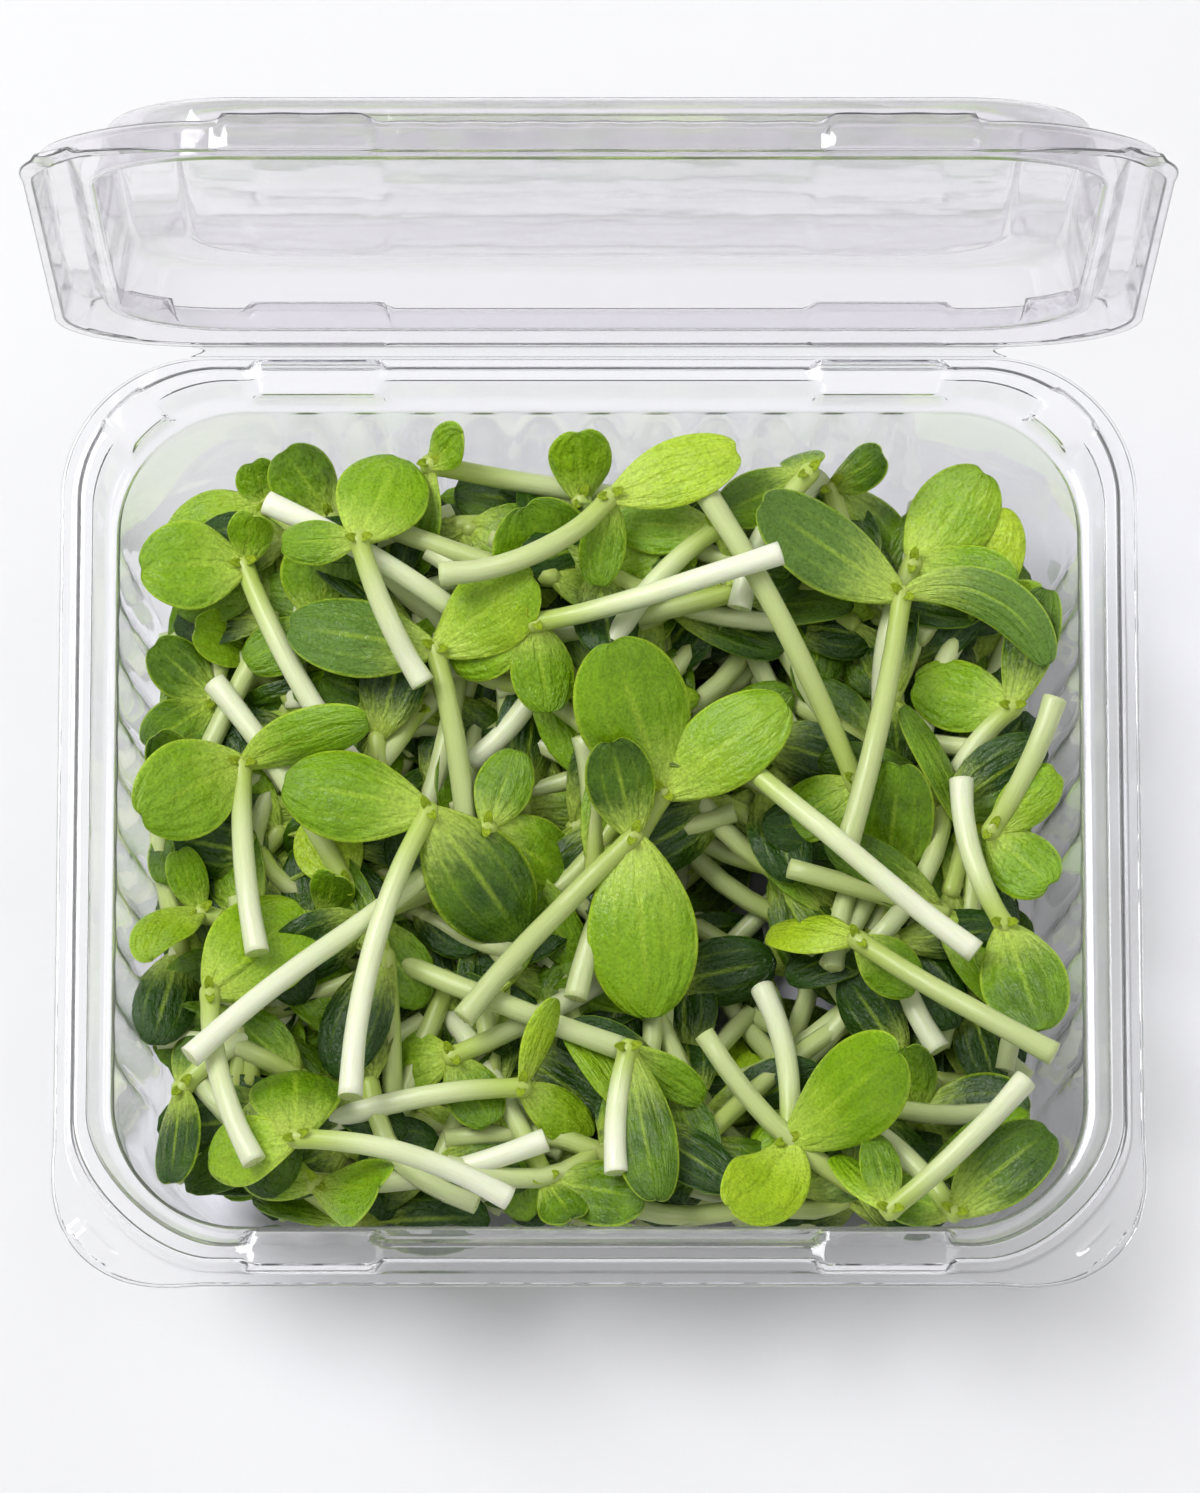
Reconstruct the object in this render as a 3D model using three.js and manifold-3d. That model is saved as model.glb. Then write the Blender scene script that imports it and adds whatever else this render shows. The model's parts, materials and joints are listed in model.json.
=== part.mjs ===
// Sunflower microgreens in a clear hinged box.
// Millimetres. +X is right, +Y is back towards the hinge, +Z is up.
// The origin is the middle of the box's underside, where it stands on a surface.
import * as THREE from "three";
import { mergeVertices } from "three/addons/utils/BufferGeometryUtils.js";
import Module from "manifold-3d";

const wasm = await Module();
wasm.setup();

// Box: driving dimensions.
const WIDTH = 184;            // over the flange, left to right
const DEPTH = 163;            // over the flange, front to back
const FLANGE_Z = 50;          // top of the flat flange above the surface
const CORNER = 25;            // plan radius of the flange corner
const CORNER_STEP = 0.35;     // how much the corner radius shrinks per millimetre of inset
const SHEET = 0.6;            // wall of the formed tray
const BEAD_RISE = 5;          // hollow bead above the flange
const WALL_TOP = 10.2;        // inset of the side wall at the flange
const WALL_FOOT = 17.4;       // inset of the side wall just above the floor
const FOOT_Z = 5;             // height where the floor's rounded edge meets the wall
const FLOOR_INSET = 21.5;     // inset of the flat floor

// Lid: closed over the tray with a small gap, then turned open about the hinge.
const LID_SHEET = 0.5;
const LID_GAP = 0.45;         // play between lid and tray when shut
const DOME_RISE = 12;        // inside of the lid's panel above the flange
const LID_OPEN = 84;          // degrees from shut, as it stands
const HINGE_Y = DEPTH / 2 + 1.2;
const HINGE_Z = FLANGE_Z + 0.25;
const WEB_LENGTH = 140;       // living hinge, left to right
const WEB_THICK = 0.3;
const WEB_GAP = 0.2;          // clear space at the fold line

// Snap blocks: wider, higher stretches of the bead at the front and back.
const BLOCK_X = 48;
const BLOCK_LENGTH = 20;
const BLOCK_RAMP = 1.5;
const BLOCK_OUT = 0.8;
const BLOCK_UP = 0.8;

// Shoots.
const STEM_RADIUS = 2;
const LEAF_THICK = 1.4;
const LEAF_NECK = 0.2;        // half-width of the leaf's neck over its widest half-width
const LEAF_WIDEST = 0.55;     // where along the leaf it is widest
const LEAF_RINGS = 4;
const STEM_STEPS = 5;         // straight pieces of a stem
const STEM_BEND = 45;         // tightest up-and-down bend of a stem
const REST_GAP = 0.35;        // clear space between pieces that rest on each other
const CELL = 0.5;             // side of a cell of the relief that the shoots are laid on
const CELLS_BEYOND = 20;      // cells of the relief past the tray's edge
const POINT_SPACING = 0.7;    // of a cell, between the points that a face leaves on the relief
const STIFFNESS = 0.05;       // height that one degree of forced bend counts as
const BED_EDGE = 30;          // top of the packed lower greens beside the walls
const BED_MIDDLE = 4;         // and in the middle, where the most shoots lie over them

const COLOURS = { plastic: "#e9eaee", leaf: "#7fa83c", bed: "#4d6b21" };

// Each shoot as it lies: crown and cut end in plan, sideways bow of the stem, then its two seed leaves.
// A leaf is heading from +X, length, width, then lift, droop, turn, roll and fold in degrees.
const SHOOTS = [
  [[-66, 26], [-44, -4], 2, [140, 15, 10, 0], [222, 17, 11, 0, 20]],
  [[-69, 7], [-38, 16], -2, [124, 16, 9, 0], [250, 16, 10, 0, 10]],
  [[-57, 36], [-28, 18], 2, [174, 17, 10, 0, 10], [85, 18, 12, 0]],
  [[-57, 60], [-28, 40], 2, [198, 19, 12, 10, 40], [112, 9, 8, 0]],
  [[-46, 57], [-52, 25], 2, [128, 15, 12, 0], [4, 20, 9, 0]],
  [[-29, 65], [30, 60], 1, [25, 13, 8, 0, 0, 0, 0, 20], [-108, 20, 9, 0, 15, 20, 35]],
  [[-47, 38], [-24, 12], 2, [92, 16, 15, 0], [205, 16, 10, 0]],
  [[-31, 24], [-52, 2], -2, [165, 18, 13, 0], [20, 14, 10, 0]],
  [[-12, 31], [-57, 57], 1, [-65, 20, 14, 0], [40, 14, 10, 0]],
  [[-3, 59], [16, 32], 2, [92, 14, 11, 5], [-85, 18, 11, 0]],
  [[-5, 41], [-22, 14], -3, [118, 22, 18, 0], [20, 25, 11, 5, 15, 0, 0, 20]],
  [[20, 52], [0, 28], 2, [174, 18, 10, 0], [-20, 16, 10, 0]],
  [[34, 25], [58, 30], -1, [176, 22, 12, 0], [-40, 15, 11, 0]],
  [[12, -8], [-14, -34], 2, [50, 20, 13, 0], [-25, 18, 11, 0]],
  [[-42, -25], [-6, -53], 2, [215, 15, 10, 0], [80, 14, 9, 0]],
  [[-9, -59], [-30, -22], 1, [-18, 21, 12, 0], [-60, 12, 9, 0]],
  [[-25, -38], [2, -22], 1, [182, 21, 14, 0], [-60, 14, 10, 0]],
  [[-71, -43], [-48, -28], -2, [266, 21, 9, 0, 10, 0, 30], [70, 12, 8, 0]],
  [[-68, -12], [-42, -12], 2, [205, 25, 10, 10, 20, 70, 20, 15], [112, 13, 7, 0]],
  [[-43, -8], [-66, 28], 1, [115, 14, 12, 5], [-20, 16, 10, 0]],
  [[-47, -13], [4, -37], 2, [185, 18, 9, 0], [70, 12, 8, 0]],
  [[65, 42], [55, 16], 2, [76, 19, 12, 5], [12, 13, 7, 0]],
  [[71, 24], [58, 4], 2, [73, 22, 10, 5, 0, 0, -20, 20], [165, 18, 13, 0]],
  [[40, 63], [57, 37], 3, [-50, 21, 14, 0], [18, 15, 8, 0]],
  [[36, 62], [24, 38], 2, [106, 10, 8, 10], [208, 18, 10, 0]],
  [[54, 49], [49, 22], 2, [52, 21, 15, 5], [-15, 19, 12, 0]],
  [[64, 2], [58, -34], -2, [113, 27, 8, 5, 15, 15, 40], [-140, 13, 9, 0]],
  [[67, 1], [78, 23], 1, [40, 16, 9, 0], [-46, 15, 12, 0]],
  [[69, -16], [62, 10], -2, [-74, 23, 15, 5], [-50, 18, 10, 0, 0, -40]],
  [[44, 9], [18, 57], 1, [-25, 18, 12, 0], [205, 16, 11, 0]],
  [[49, -8], [58, -36], 2, [83, 26, 14, 0], [163, 18, 12, 0]],
  [[52, 42], [42, -4], -1, [152, 31, 15, 15, 25, 0, 10], [20, 32, 9, 20, 40, -95, 20]],
  [[24, 12], [64, -22], 1, [62, 12, 9, 0], [190, 12, 9, 0]],
  [[54, -47], [28, -60], 2, [-3, 21, 16, 0], [100, 14, 10, 0]],
  [[60, -67], [36, -44], 2, [39, 23, 13, 5, 10, 0, 0, 10], [160, 13, 9, 0]],
  [[49, -68], [72, -46], 1, [124, 20, 8, 5, 0, 0, 30], [100, 16, 7, 0]],
  [[-13, -44], [-46, -49], 1, [68, 17, 6, 20, 0, 0, 40], [-30, 16, 9, 0, 15]],
  [[5, -38], [3, -60], 1, [-80, 29, 11, 0, 10], [-30, 17, 7, 0, 0, 0, 20]],
  [[27, -22], [4, 4], 2, [-94, 25, 14, 5], [-48, 27, 16, 5, 15]],
  [[44, -19], [77, -41], 1, [158, 23, 10, 5, 0, 0, 25], [-35, 14, 10, 0]],
  [[32, -53], [28, -24], 2, [28, 33, 17, 10, 10], [-96, 25, 14, 0, 0, -60, 0, 15]],
  [[-48, -60], [-9, -53], 2, [-25, 25, 13, 0, 10], [165, 14, 9, 0]],
  [[-51, -56], [-15, -66], -2, [92, 26, 16, 10, 10], [186, 19, 12, 0, 15]],
  [[-66, -29], [-58, -60], 2, [48, 25, 18, 10, 15], [22, 23, 9, 5, 0, 0, 40]],
  [[-61, 48], [-38, 8], 2, [187, 19, 16, 15, 30, 0, 0, 15], [75, 12, 8, 10]],
  [[-61, 13], [-58, -22], 1, [12, 26, 10, 10, 25, 0, 35], [215, 24, 17, 10, 40, 0, -20]],
  [[-11, 35], [31, 45], 1, [200, 18, 11, 0], [-80, 16, 11, 0]],
  [[-28, 32], [-22, -6], -1, [172, 26, 14, 10, 15], [30, 23, 15, 15, 15]],
  [[-19, 1], [-69, -42], 1, [-25, 19, 14, 0], [70, 15, 10, 0]],
  [[-29, 3], [-42, -48], 3, [170, 26, 16, 5, 20], [-52, 28, 18, 5, 15]],
  [[11, 7], [-4, -28], 2, [112, 30, 20, 5, 15], [33, 28, 15, 5, 15]],
  [[6, -1], [-23, -33], 1, [-85, 32, 19, 5, 25], [105, 18, 12, 0]],
  [[2, 56], [-27, 42], -4, [18, 24, 12, 5, 10], [-100, 16, 8, 0]],
  [[-41, 49], [-30, 25], 1, [68, 21, 16, 0, 10], [180, 14, 8, 0]],
];

const radians = THREE.MathUtils.degToRad;

// A closed solid from a stack of loops of equal length, with a fan over the first and the last.
function skin(loops) {
  const count = loops[0].length;
  const centres = [loops[0], loops[loops.length - 1]].map((loop) => {
    const middle = new THREE.Vector3();
    loop.forEach((point) => middle.addScaledVector(point, 1 / count));
    return middle;
  });
  const points = [...loops.flat(), ...centres];
  const index = [];
  for (let i = 0; i < count; i++) {
    const next = (i + 1) % count;
    index.push(points.length - 2, next, i);
    const last = (loops.length - 1) * count;
    index.push(points.length - 1, last + i, last + next);
    for (let row = 0; row < loops.length - 1; row++) {
      const a = row * count;
      index.push(a + i, a + next, a + count + next, a + i, a + count + next, a + count + i);
    }
  }
  const geometry = new THREE.BufferGeometry().setFromPoints(points);
  geometry.setIndex(index);
  return outward(geometry);
}

// Turns every face round if the solid's signed volume says that they point inwards.
function outward(geometry) {
  const place = geometry.getAttribute("position");
  const index = geometry.getIndex().array;
  const [a, b, c] = [new THREE.Vector3(), new THREE.Vector3(), new THREE.Vector3()];
  let volume = 0;
  for (let i = 0; i < index.length; i += 3) {
    a.fromBufferAttribute(place, index[i]);
    b.fromBufferAttribute(place, index[i + 1]);
    c.fromBufferAttribute(place, index[i + 2]);
    volume += a.dot(b.cross(c));
  }
  if (volume < 0) {
    index.reverse();
  }
  return geometry;
}

// Geometry to a manifold solid and back, for joining pieces that grew or were formed as one.
function solid(geometry) {
  const plain = geometry.clone();
  plain.deleteAttribute("normal");
  plain.deleteAttribute("uv");
  const merged = mergeVertices(plain, 1e-4);
  const vertProperties = new Float32Array(merged.getAttribute("position").array);
  const triVerts = new Uint32Array(merged.getIndex().array);
  return new wasm.Manifold(new wasm.Mesh({ numProp: 3, vertProperties, triVerts }));
}

function joined(...geometries) {
  const whole = geometries.map(solid).reduce((sum, piece) => sum.add(piece));
  const mesh = whole.getMesh();
  const geometry = new THREE.BufferGeometry();
  geometry.setAttribute("position", new THREE.BufferAttribute(new Float32Array(mesh.vertProperties), 3));
  geometry.setIndex(new THREE.BufferAttribute(new Uint32Array(mesh.triVerts), 1));
  geometry.computeVertexNormals();
  return geometry;
}

// One loop round the box: a rounded rectangle inset from the flange edge at height z.
// At the snap blocks the front and back sides move out and up by the given amounts;
// far inside, where the straight sides are shorter, the blocks' stations are squeezed in.
function boxLoop(inset, z, out = 0, up = 0) {
  const halfX = WIDTH / 2 - inset;
  const halfY = DEPTH / 2 - inset;
  const radius = CORNER - CORNER_STEP * inset;
  const steps = 5;
  const near = BLOCK_X - BLOCK_LENGTH / 2;
  const far = BLOCK_X + BLOCK_LENGTH / 2;
  const squeeze = Math.min(1, (halfX - radius - 1) / (far + BLOCK_RAMP));
  const blockStations = [-1, 1].flatMap((side) => {
    const stations = [[near - BLOCK_RAMP, 0], [near, 1], [far, 1], [far + BLOCK_RAMP, 0]];
    return stations.map(([x, share]) => [side * squeeze * x, share]);
  });
  blockStations.sort((a, b) => a[0] - b[0]);
  const loop = [];
  const corner = (signX, signY, start) => {
    for (let step = 0; step <= steps; step++) {
      const angle = radians(start + (90 * step) / steps);
      const x = signX * (halfX - radius) + radius * Math.cos(angle);
      const y = signY * (halfY - radius) + radius * Math.sin(angle);
      loop.push(new THREE.Vector3(x, y, z));
    }
  };
  const side = (sign, stations) => {
    for (const [x, share] of stations) {
      loop.push(new THREE.Vector3(x, sign * (halfY + out * share), z + up * share));
    }
  };
  corner(1, 1, 0);
  side(1, [...blockStations].reverse());
  corner(-1, 1, 90);
  corner(-1, -1, 180);
  side(-1, blockStations);
  corner(1, -1, 270);
  return loop;
}

// Inset of the tray's inner wall surface at height z.
function wallInset(z) {
  return WALL_FOOT + ((WALL_TOP - WALL_FOOT) * (z - FOOT_Z)) / (FLANGE_Z - FOOT_Z);
}

// A living-hinge half: a thin strip from inside the flange to the fold line.
function webHalf(bottom) {
  const front = DEPTH / 2 - 1;
  const back = HINGE_Y - WEB_GAP;
  const strip = new THREE.BoxGeometry(WEB_LENGTH, back - front, WEB_THICK);
  return strip.translate(0, (front + back) / 2, bottom + WEB_THICK / 2);
}

// The tray: inside surface from the floor out to the flange edge, then the outside surface back.
function trayGeometry() {
  const bead = FLANGE_Z + BEAD_RISE;
  const inside = [
    [FLOOR_INSET, SHEET], [WALL_FOOT + 1.2, 2.4], [WALL_FOOT, FOOT_Z], [WALL_TOP, FLANGE_Z],
    [9.4, FLANGE_Z + 0.6], [8.1, FLANGE_Z + 0.9], [6.2, bead - 0.3, 0, BLOCK_UP],
    [5.6, bead, 0, BLOCK_UP], [3.8, bead, BLOCK_OUT, BLOCK_UP],
    [3.2, bead - 0.5, BLOCK_OUT, BLOCK_UP], [2.2, FLANGE_Z, BLOCK_OUT, 0], [0, FLANGE_Z],
  ];
  const outside = [
    [0, FLANGE_Z - SHEET], [2.7, FLANGE_Z - SHEET, BLOCK_OUT, 0],
    [3.8, bead - 0.9, BLOCK_OUT, BLOCK_UP], [5.3, bead - SHEET, 0, BLOCK_UP],
    [7.5, FLANGE_Z + 0.5], [9.2, FLANGE_Z], [WALL_TOP - SHEET, FLANGE_Z - 0.6],
    [WALL_FOOT - SHEET, FOOT_Z - 0.2], [WALL_FOOT + 0.6, 1.8], [FLOOR_INSET, 0],
  ];
  const shell = skin([...inside, ...outside].map((station) => boxLoop(...station)));
  return joined(shell, webHalf(FLANGE_Z - WEB_THICK));
}

// The lid in its shut place: underside from the panel out to the flange edge, then the top back.
function lidGeometry() {
  const under = FLANGE_Z + LID_GAP;
  const bead = under + BEAD_RISE + 0.1;
  const panel = FLANGE_Z + DOME_RISE;
  const inside = [
    [20, panel], [14.5, panel - 0.2], [13.2, panel - 1.4], [11.4, under + 0.9], [10.4, under + 0.55],
    [9, under + 0.95], [6.75, bead - 0.1, 0, BLOCK_UP], [6.2, bead, 0, BLOCK_UP],
    [3.2, bead, BLOCK_OUT, BLOCK_UP], [2.6, bead - 0.6, BLOCK_OUT, BLOCK_UP],
    [1.6, under, BLOCK_OUT, 0], [0, under],
  ];
  const outside = [
    [0, under + LID_SHEET], [1.2, under + LID_SHEET, BLOCK_OUT, 0],
    [2.1, bead - 0.2, BLOCK_OUT, BLOCK_UP], [2.9, bead + LID_SHEET, BLOCK_OUT, BLOCK_UP],
    [6.5, bead + LID_SHEET, 0, BLOCK_UP], [7.3, bead, 0, BLOCK_UP], [9.3, under + 1.55],
    [10.5, under + 1.1], [11.1, under + 1.5], [12.7, panel - 1], [14.2, panel + 0.3],
    [20, panel + LID_SHEET],
  ];
  const shell = skin([...inside, ...outside].map((station) => boxLoop(...station)));
  return joined(shell, webHalf(under));
}

// The packed lower greens: one plain body that follows the walls, pressed down in the middle.
function bedGeometry() {
  const beside = (z) => wallInset(z) + 1;
  const stations = [
    [FLOOR_INSET + 1, SHEET + REST_GAP], [beside(7), 7], [beside(BED_EDGE - 3), BED_EDGE - 3],
    [beside(BED_EDGE) + 4, BED_EDGE], [beside(BED_EDGE) + 20, (2 * BED_EDGE + BED_MIDDLE) / 3],
    [beside(BED_EDGE) + 42, BED_MIDDLE],
  ];
  return skin(stations.map((station) => boxLoop(...station)));
}

// Points spread over a geometry's faces, closer together than one relief cell.
function facePoints(geometry) {
  const place = geometry.getAttribute("position");
  const index = geometry.getIndex().array;
  const [a, b, c] = [new THREE.Vector3(), new THREE.Vector3(), new THREE.Vector3()];
  const points = [];
  for (let i = 0; i < index.length; i += 3) {
    a.fromBufferAttribute(place, index[i]);
    b.fromBufferAttribute(place, index[i + 1]);
    c.fromBufferAttribute(place, index[i + 2]);
    const longest = Math.max(a.distanceTo(b), b.distanceTo(c), c.distanceTo(a));
    const parts = Math.max(1, Math.ceil(longest / (POINT_SPACING * CELL)));
    for (let p = 0; p <= parts; p++) {
      for (let q = 0; q <= parts - p; q++) {
        const [wb, wc] = [p / parts, q / parts];
        const point = a.clone().multiplyScalar(1 - wb - wc);
        points.push(point.addScaledVector(b, wb).addScaledVector(c, wc));
      }
    }
  }
  return points;
}

// The relief holds the highest point so far over each cell of the plan, so that the
// next shoot can be laid on what is already in the box.
const COLUMNS = Math.ceil(WIDTH / CELL) + 2 * CELLS_BEYOND;
const ROWS = Math.ceil(DEPTH / CELL) + 2 * CELLS_BEYOND;
const relief = new Float32Array(COLUMNS * ROWS);

function cellOf(x, y) {
  return [Math.round(x / CELL + COLUMNS / 2), Math.round(y / CELL + ROWS / 2)];
}

function raiseRelief(geometry) {
  for (const point of facePoints(geometry)) {
    const [column, row] = cellOf(point.x, point.y);
    const cell = row * COLUMNS + column;
    relief[cell] = Math.max(relief[cell], point.z);
  }
}

// The height at which the centre of a ball of this radius touches the relief at x, y.
function ballHeight(x, y, radius) {
  const [column, row] = cellOf(x, y);
  const span = Math.floor(radius / CELL);
  let highest = 0;
  for (let i = -span; i <= span; i++) {
    for (let j = -span; j <= span; j++) {
      const rise = Math.sqrt(Math.max(0, radius ** 2 - (i ** 2 + j ** 2) * CELL ** 2));
      if (rise > 0) {
        highest = Math.max(highest, relief[(row + j) * COLUMNS + column + i] + rise);
      }
    }
  }
  return highest;
}

// Whether every face of a geometry is clear above the relief.
function clears(geometry) {
  return facePoints(geometry).every((point) => {
    const [column, row] = cellOf(point.x, point.y);
    for (let i = -1; i <= 1; i++) {
      for (let j = -1; j <= 1; j++) {
        if (point.z - relief[(row + j) * COLUMNS + column + i] < REST_GAP) {
          return false;
        }
      }
    }
    return true;
  });
}

// The stem's centre line in plan: a quadratic curve from the cut end to the crown.
function stemPlan(crown, foot, bow) {
  const along = new THREE.Vector2(crown[0] - foot[0], crown[1] - foot[1]).normalize();
  const middle = new THREE.Vector2((crown[0] + foot[0]) / 2, (crown[1] + foot[1]) / 2);
  const control = new THREE.Vector2(middle.x - 2 * bow * along.y, middle.y + 2 * bow * along.x);
  return new THREE.QuadraticBezierCurve(new THREE.Vector2(...foot), control, new THREE.Vector2(...crown));
}

// Points of the stem's centre line, laid over the relief as a springy stem settles:
// an envelope of parabolas over what is below, then smoothed and lifted clear.
function settledStem(plan) {
  const fine = 4 * STEM_STEPS;
  const stations = Array.from({ length: fine + 1 }, (_, i) => plan.getPoint(i / fine));
  const spacing = plan.getLength() / fine;
  const needed = stations.map((point) => ballHeight(point.x, point.y, STEM_RADIUS + REST_GAP) + 0.1);
  let heights = needed.map((_, i) => Math.max(
    ...needed.map((z, j) => z - ((i - j) * spacing) ** 2 / (2 * STEM_BEND)),
  ));
  for (let pass = 0; pass < 3; pass++) {
    heights = heights.map((z, i) => {
      const before = heights[Math.max(i - 2, 0)];
      const after = heights[Math.min(i + 2, fine)];
      return (before + 2 * z + after) / 4;
    });
  }
  const lift = Math.max(0, ...heights.map((z, i) => needed[i] - z));
  const points = stations.map((point, i) => new THREE.Vector3(point.x, point.y, heights[i] + lift));
  return points.filter((_, i) => i % 4 === 0);
}

// Half-width of a seed leaf, from 0 to 1, at u along it: a narrow neck, then an oval.
function leafOutline(u) {
  if (u < LEAF_WIDEST) {
    return LEAF_NECK + (1 - LEAF_NECK) * Math.sin((Math.PI / 2) * (u / LEAF_WIDEST)) ** 0.85;
  }
  return Math.sqrt(1 - ((u - LEAF_WIDEST) / (1 - LEAF_WIDEST)) ** 2);
}

// A seed leaf: rings across a centre line that starts at the crown, then droops and turns.
function leafGeometry(crown, leaf, lift, droop) {
  const [heading, length, width, , , turn = 0, roll = 0, fold = 0] = leaf;
  const centre = crown.clone();
  const loops = [];
  const place = (u, halfWidth, thick) => {
    const direction = radians(heading + turn * u);
    const pitch = radians(lift - droop * u);
    const forward = new THREE.Vector3(
      Math.cos(pitch) * Math.cos(direction), Math.cos(pitch) * Math.sin(direction), Math.sin(pitch),
    );
    const side = new THREE.Vector3(Math.sin(direction), -Math.cos(direction), 0);
    side.applyAxisAngle(forward, radians(roll));
    const up = side.clone().cross(forward);
    const cross = [[-1, 0], [0, 0.5], [1, 0], [0, -0.5]];
    const rise = Math.tan(radians(fold)) * halfWidth;
    loops.push(cross.map(([across, level]) => centre.clone()
      .addScaledVector(side, across * halfWidth)
      .addScaledVector(up, level * thick + Math.abs(across) * rise)));
    return forward;
  };
  const step = 1 / (LEAF_RINGS + 1);
  place(0, 0.5, LEAF_THICK);
  for (let ring = 1; ring <= LEAF_RINGS + 1; ring++) {
    const u = ring * step;
    const direction = radians(heading + turn * (u - step / 2));
    const pitch = radians(lift - droop * (u - step / 2));
    centre.x += length * step * Math.cos(pitch) * Math.cos(direction);
    centre.y += length * step * Math.cos(pitch) * Math.sin(direction);
    centre.z += length * step * Math.sin(pitch);
    const last = ring > LEAF_RINGS;
    const wide = last ? 0.12 * width : (width / 2) * leafOutline(u);
    place(u, wide, LEAF_THICK * (1 - 0.3 * u));
  }
  return skin(loops);
}

// The lowest-lying lift and droop at which the leaf clears everything below it, or null if
// none does. Each degree away from the leaf's own lift and droop counts as some height.
function settledLeaf(crown, leaf) {
  const [, , , ownLift = 0, ownDroop = 0] = leaf;
  let best = null;
  let least = Infinity;
  for (let lift = -20; lift <= 50; lift += 5) {
    for (let droop = -20; droop <= 70; droop += 10) {
      const geometry = leafGeometry(crown, leaf, lift, droop);
      const place = geometry.getAttribute("position").array;
      let cost = STIFFNESS * (Math.abs(lift - ownLift) + Math.abs(droop - ownDroop));
      for (let i = 2; i < place.length; i += 3) {
        cost += (3 * place[i]) / place.length;
      }
      if (cost < least && clears(geometry)) {
        least = cost;
        best = geometry;
      }
    }
  }
  return best;
}

// One grown shoot: a stem and its pair of seed leaves, laid on the relief as one solid.
// If the leaves can't clear what is around the crown, the stem's last part bends up.
function shootGeometry([crown, foot, bow, ...leaves]) {
  const points = settledStem(stemPlan(crown, foot, bow));
  const top = points[points.length - 1];
  let blades = leaves.map((leaf) => settledLeaf(top, leaf));
  while (blades.includes(null)) {
    points.forEach((point, i) => {
      point.z += (i / STEM_STEPS) ** 2;
    });
    blades = leaves.map((leaf) => settledLeaf(top, leaf));
  }
  const section = new THREE.Shape();
  for (let i = 0; i < 6; i++) {
    const angle = (i * Math.PI) / 3;
    section[i ? "lineTo" : "moveTo"](STEM_RADIUS * Math.cos(angle), STEM_RADIUS * Math.sin(angle));
  }
  const path = new THREE.CatmullRomCurve3(points);
  const stem = new THREE.ExtrudeGeometry(
    section, { steps: STEM_STEPS, bevelEnabled: false, extrudePath: path },
  );
  const geometry = joined(stem, ...blades);
  raiseRelief(geometry);
  return geometry;
}

function named(name, geometry, colour, roughness, opacity = 1) {
  geometry.computeVertexNormals();
  const material = new THREE.MeshStandardMaterial({ color: colour, roughness, metalness: 0 });
  material.transparent = opacity < 1;
  material.opacity = opacity;
  const mesh = new THREE.Mesh(geometry, material);
  mesh.name = name;
  return mesh;
}

const box = new THREE.Group();
const tray = named("tray", trayGeometry(), COLOURS.plastic, 0.1, 0.35);
const bed = named("greens_bed", bedGeometry(), COLOURS.bed, 0.6);
box.add(tray, bed);
raiseRelief(tray.geometry);
raiseRelief(bed.geometry);
SHOOTS.forEach((row, i) => {
  const name = `shoot_${String(i + 1).padStart(2, "0")}`;
  box.add(named(name, shootGeometry(row), COLOURS.leaf, 0.5));
});

const hinge = new THREE.Group();
hinge.position.set(0, HINGE_Y, HINGE_Z);
hinge.rotation.x = -radians(LID_OPEN);
const lid = named("lid", lidGeometry(), COLOURS.plastic, 0.1, 0.35);
lid.position.set(0, -HINGE_Y, -HINGE_Z);
hinge.add(lid);
box.add(hinge);

export default box;
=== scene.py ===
import json

import bpy
import numpy as np
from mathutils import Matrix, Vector


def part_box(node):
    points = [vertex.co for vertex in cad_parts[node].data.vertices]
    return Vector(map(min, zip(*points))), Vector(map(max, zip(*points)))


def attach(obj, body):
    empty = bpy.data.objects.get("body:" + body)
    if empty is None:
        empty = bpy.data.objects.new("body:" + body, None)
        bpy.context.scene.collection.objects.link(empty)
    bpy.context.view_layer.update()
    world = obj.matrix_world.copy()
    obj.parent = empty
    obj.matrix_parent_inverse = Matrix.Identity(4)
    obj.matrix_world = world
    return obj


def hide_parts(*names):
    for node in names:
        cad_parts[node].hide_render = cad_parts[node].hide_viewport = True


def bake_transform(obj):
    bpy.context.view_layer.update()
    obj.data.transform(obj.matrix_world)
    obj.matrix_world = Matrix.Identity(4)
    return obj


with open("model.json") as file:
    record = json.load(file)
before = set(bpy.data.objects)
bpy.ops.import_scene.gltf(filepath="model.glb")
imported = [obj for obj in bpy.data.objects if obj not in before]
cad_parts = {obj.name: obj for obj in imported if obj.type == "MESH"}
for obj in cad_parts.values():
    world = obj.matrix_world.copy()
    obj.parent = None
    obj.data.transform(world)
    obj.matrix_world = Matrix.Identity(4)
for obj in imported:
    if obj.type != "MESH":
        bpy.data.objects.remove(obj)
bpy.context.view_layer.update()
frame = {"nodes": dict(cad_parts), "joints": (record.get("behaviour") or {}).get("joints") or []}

bl_info = {
    "name": "Sunflower microgreens tray",
    "version": (1, 0, 0),
    "blender": (4, 5, 0),
    "location": "View3D > Sidebar > Microgreens",
    "description": "Finishes a clear hinged tray of cut sunflower shoots round its packed frame",
    "category": "Object",
}

# Everything below works in millimetres, and becomes metres when a mesh is made.
MM = 0.001
TRAY_LOW, TRAY_HIGH = (np.array(corner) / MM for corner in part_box("tray"))
BED_LOW, BED_HIGH = (np.array(corner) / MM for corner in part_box("greens_bed"))
HINGE = frame["joints"][0]
HINGE_AT = np.array(HINGE["pos_m"]) / MM
LID_OPEN = -np.radians(HINGE["range_deg"][0])

WIDTH = TRAY_HIGH[0] - TRAY_LOW[0]
DEPTH = -2 * TRAY_LOW[1]
FLANGE_Z = HINGE_AT[2] - 0.25

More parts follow.
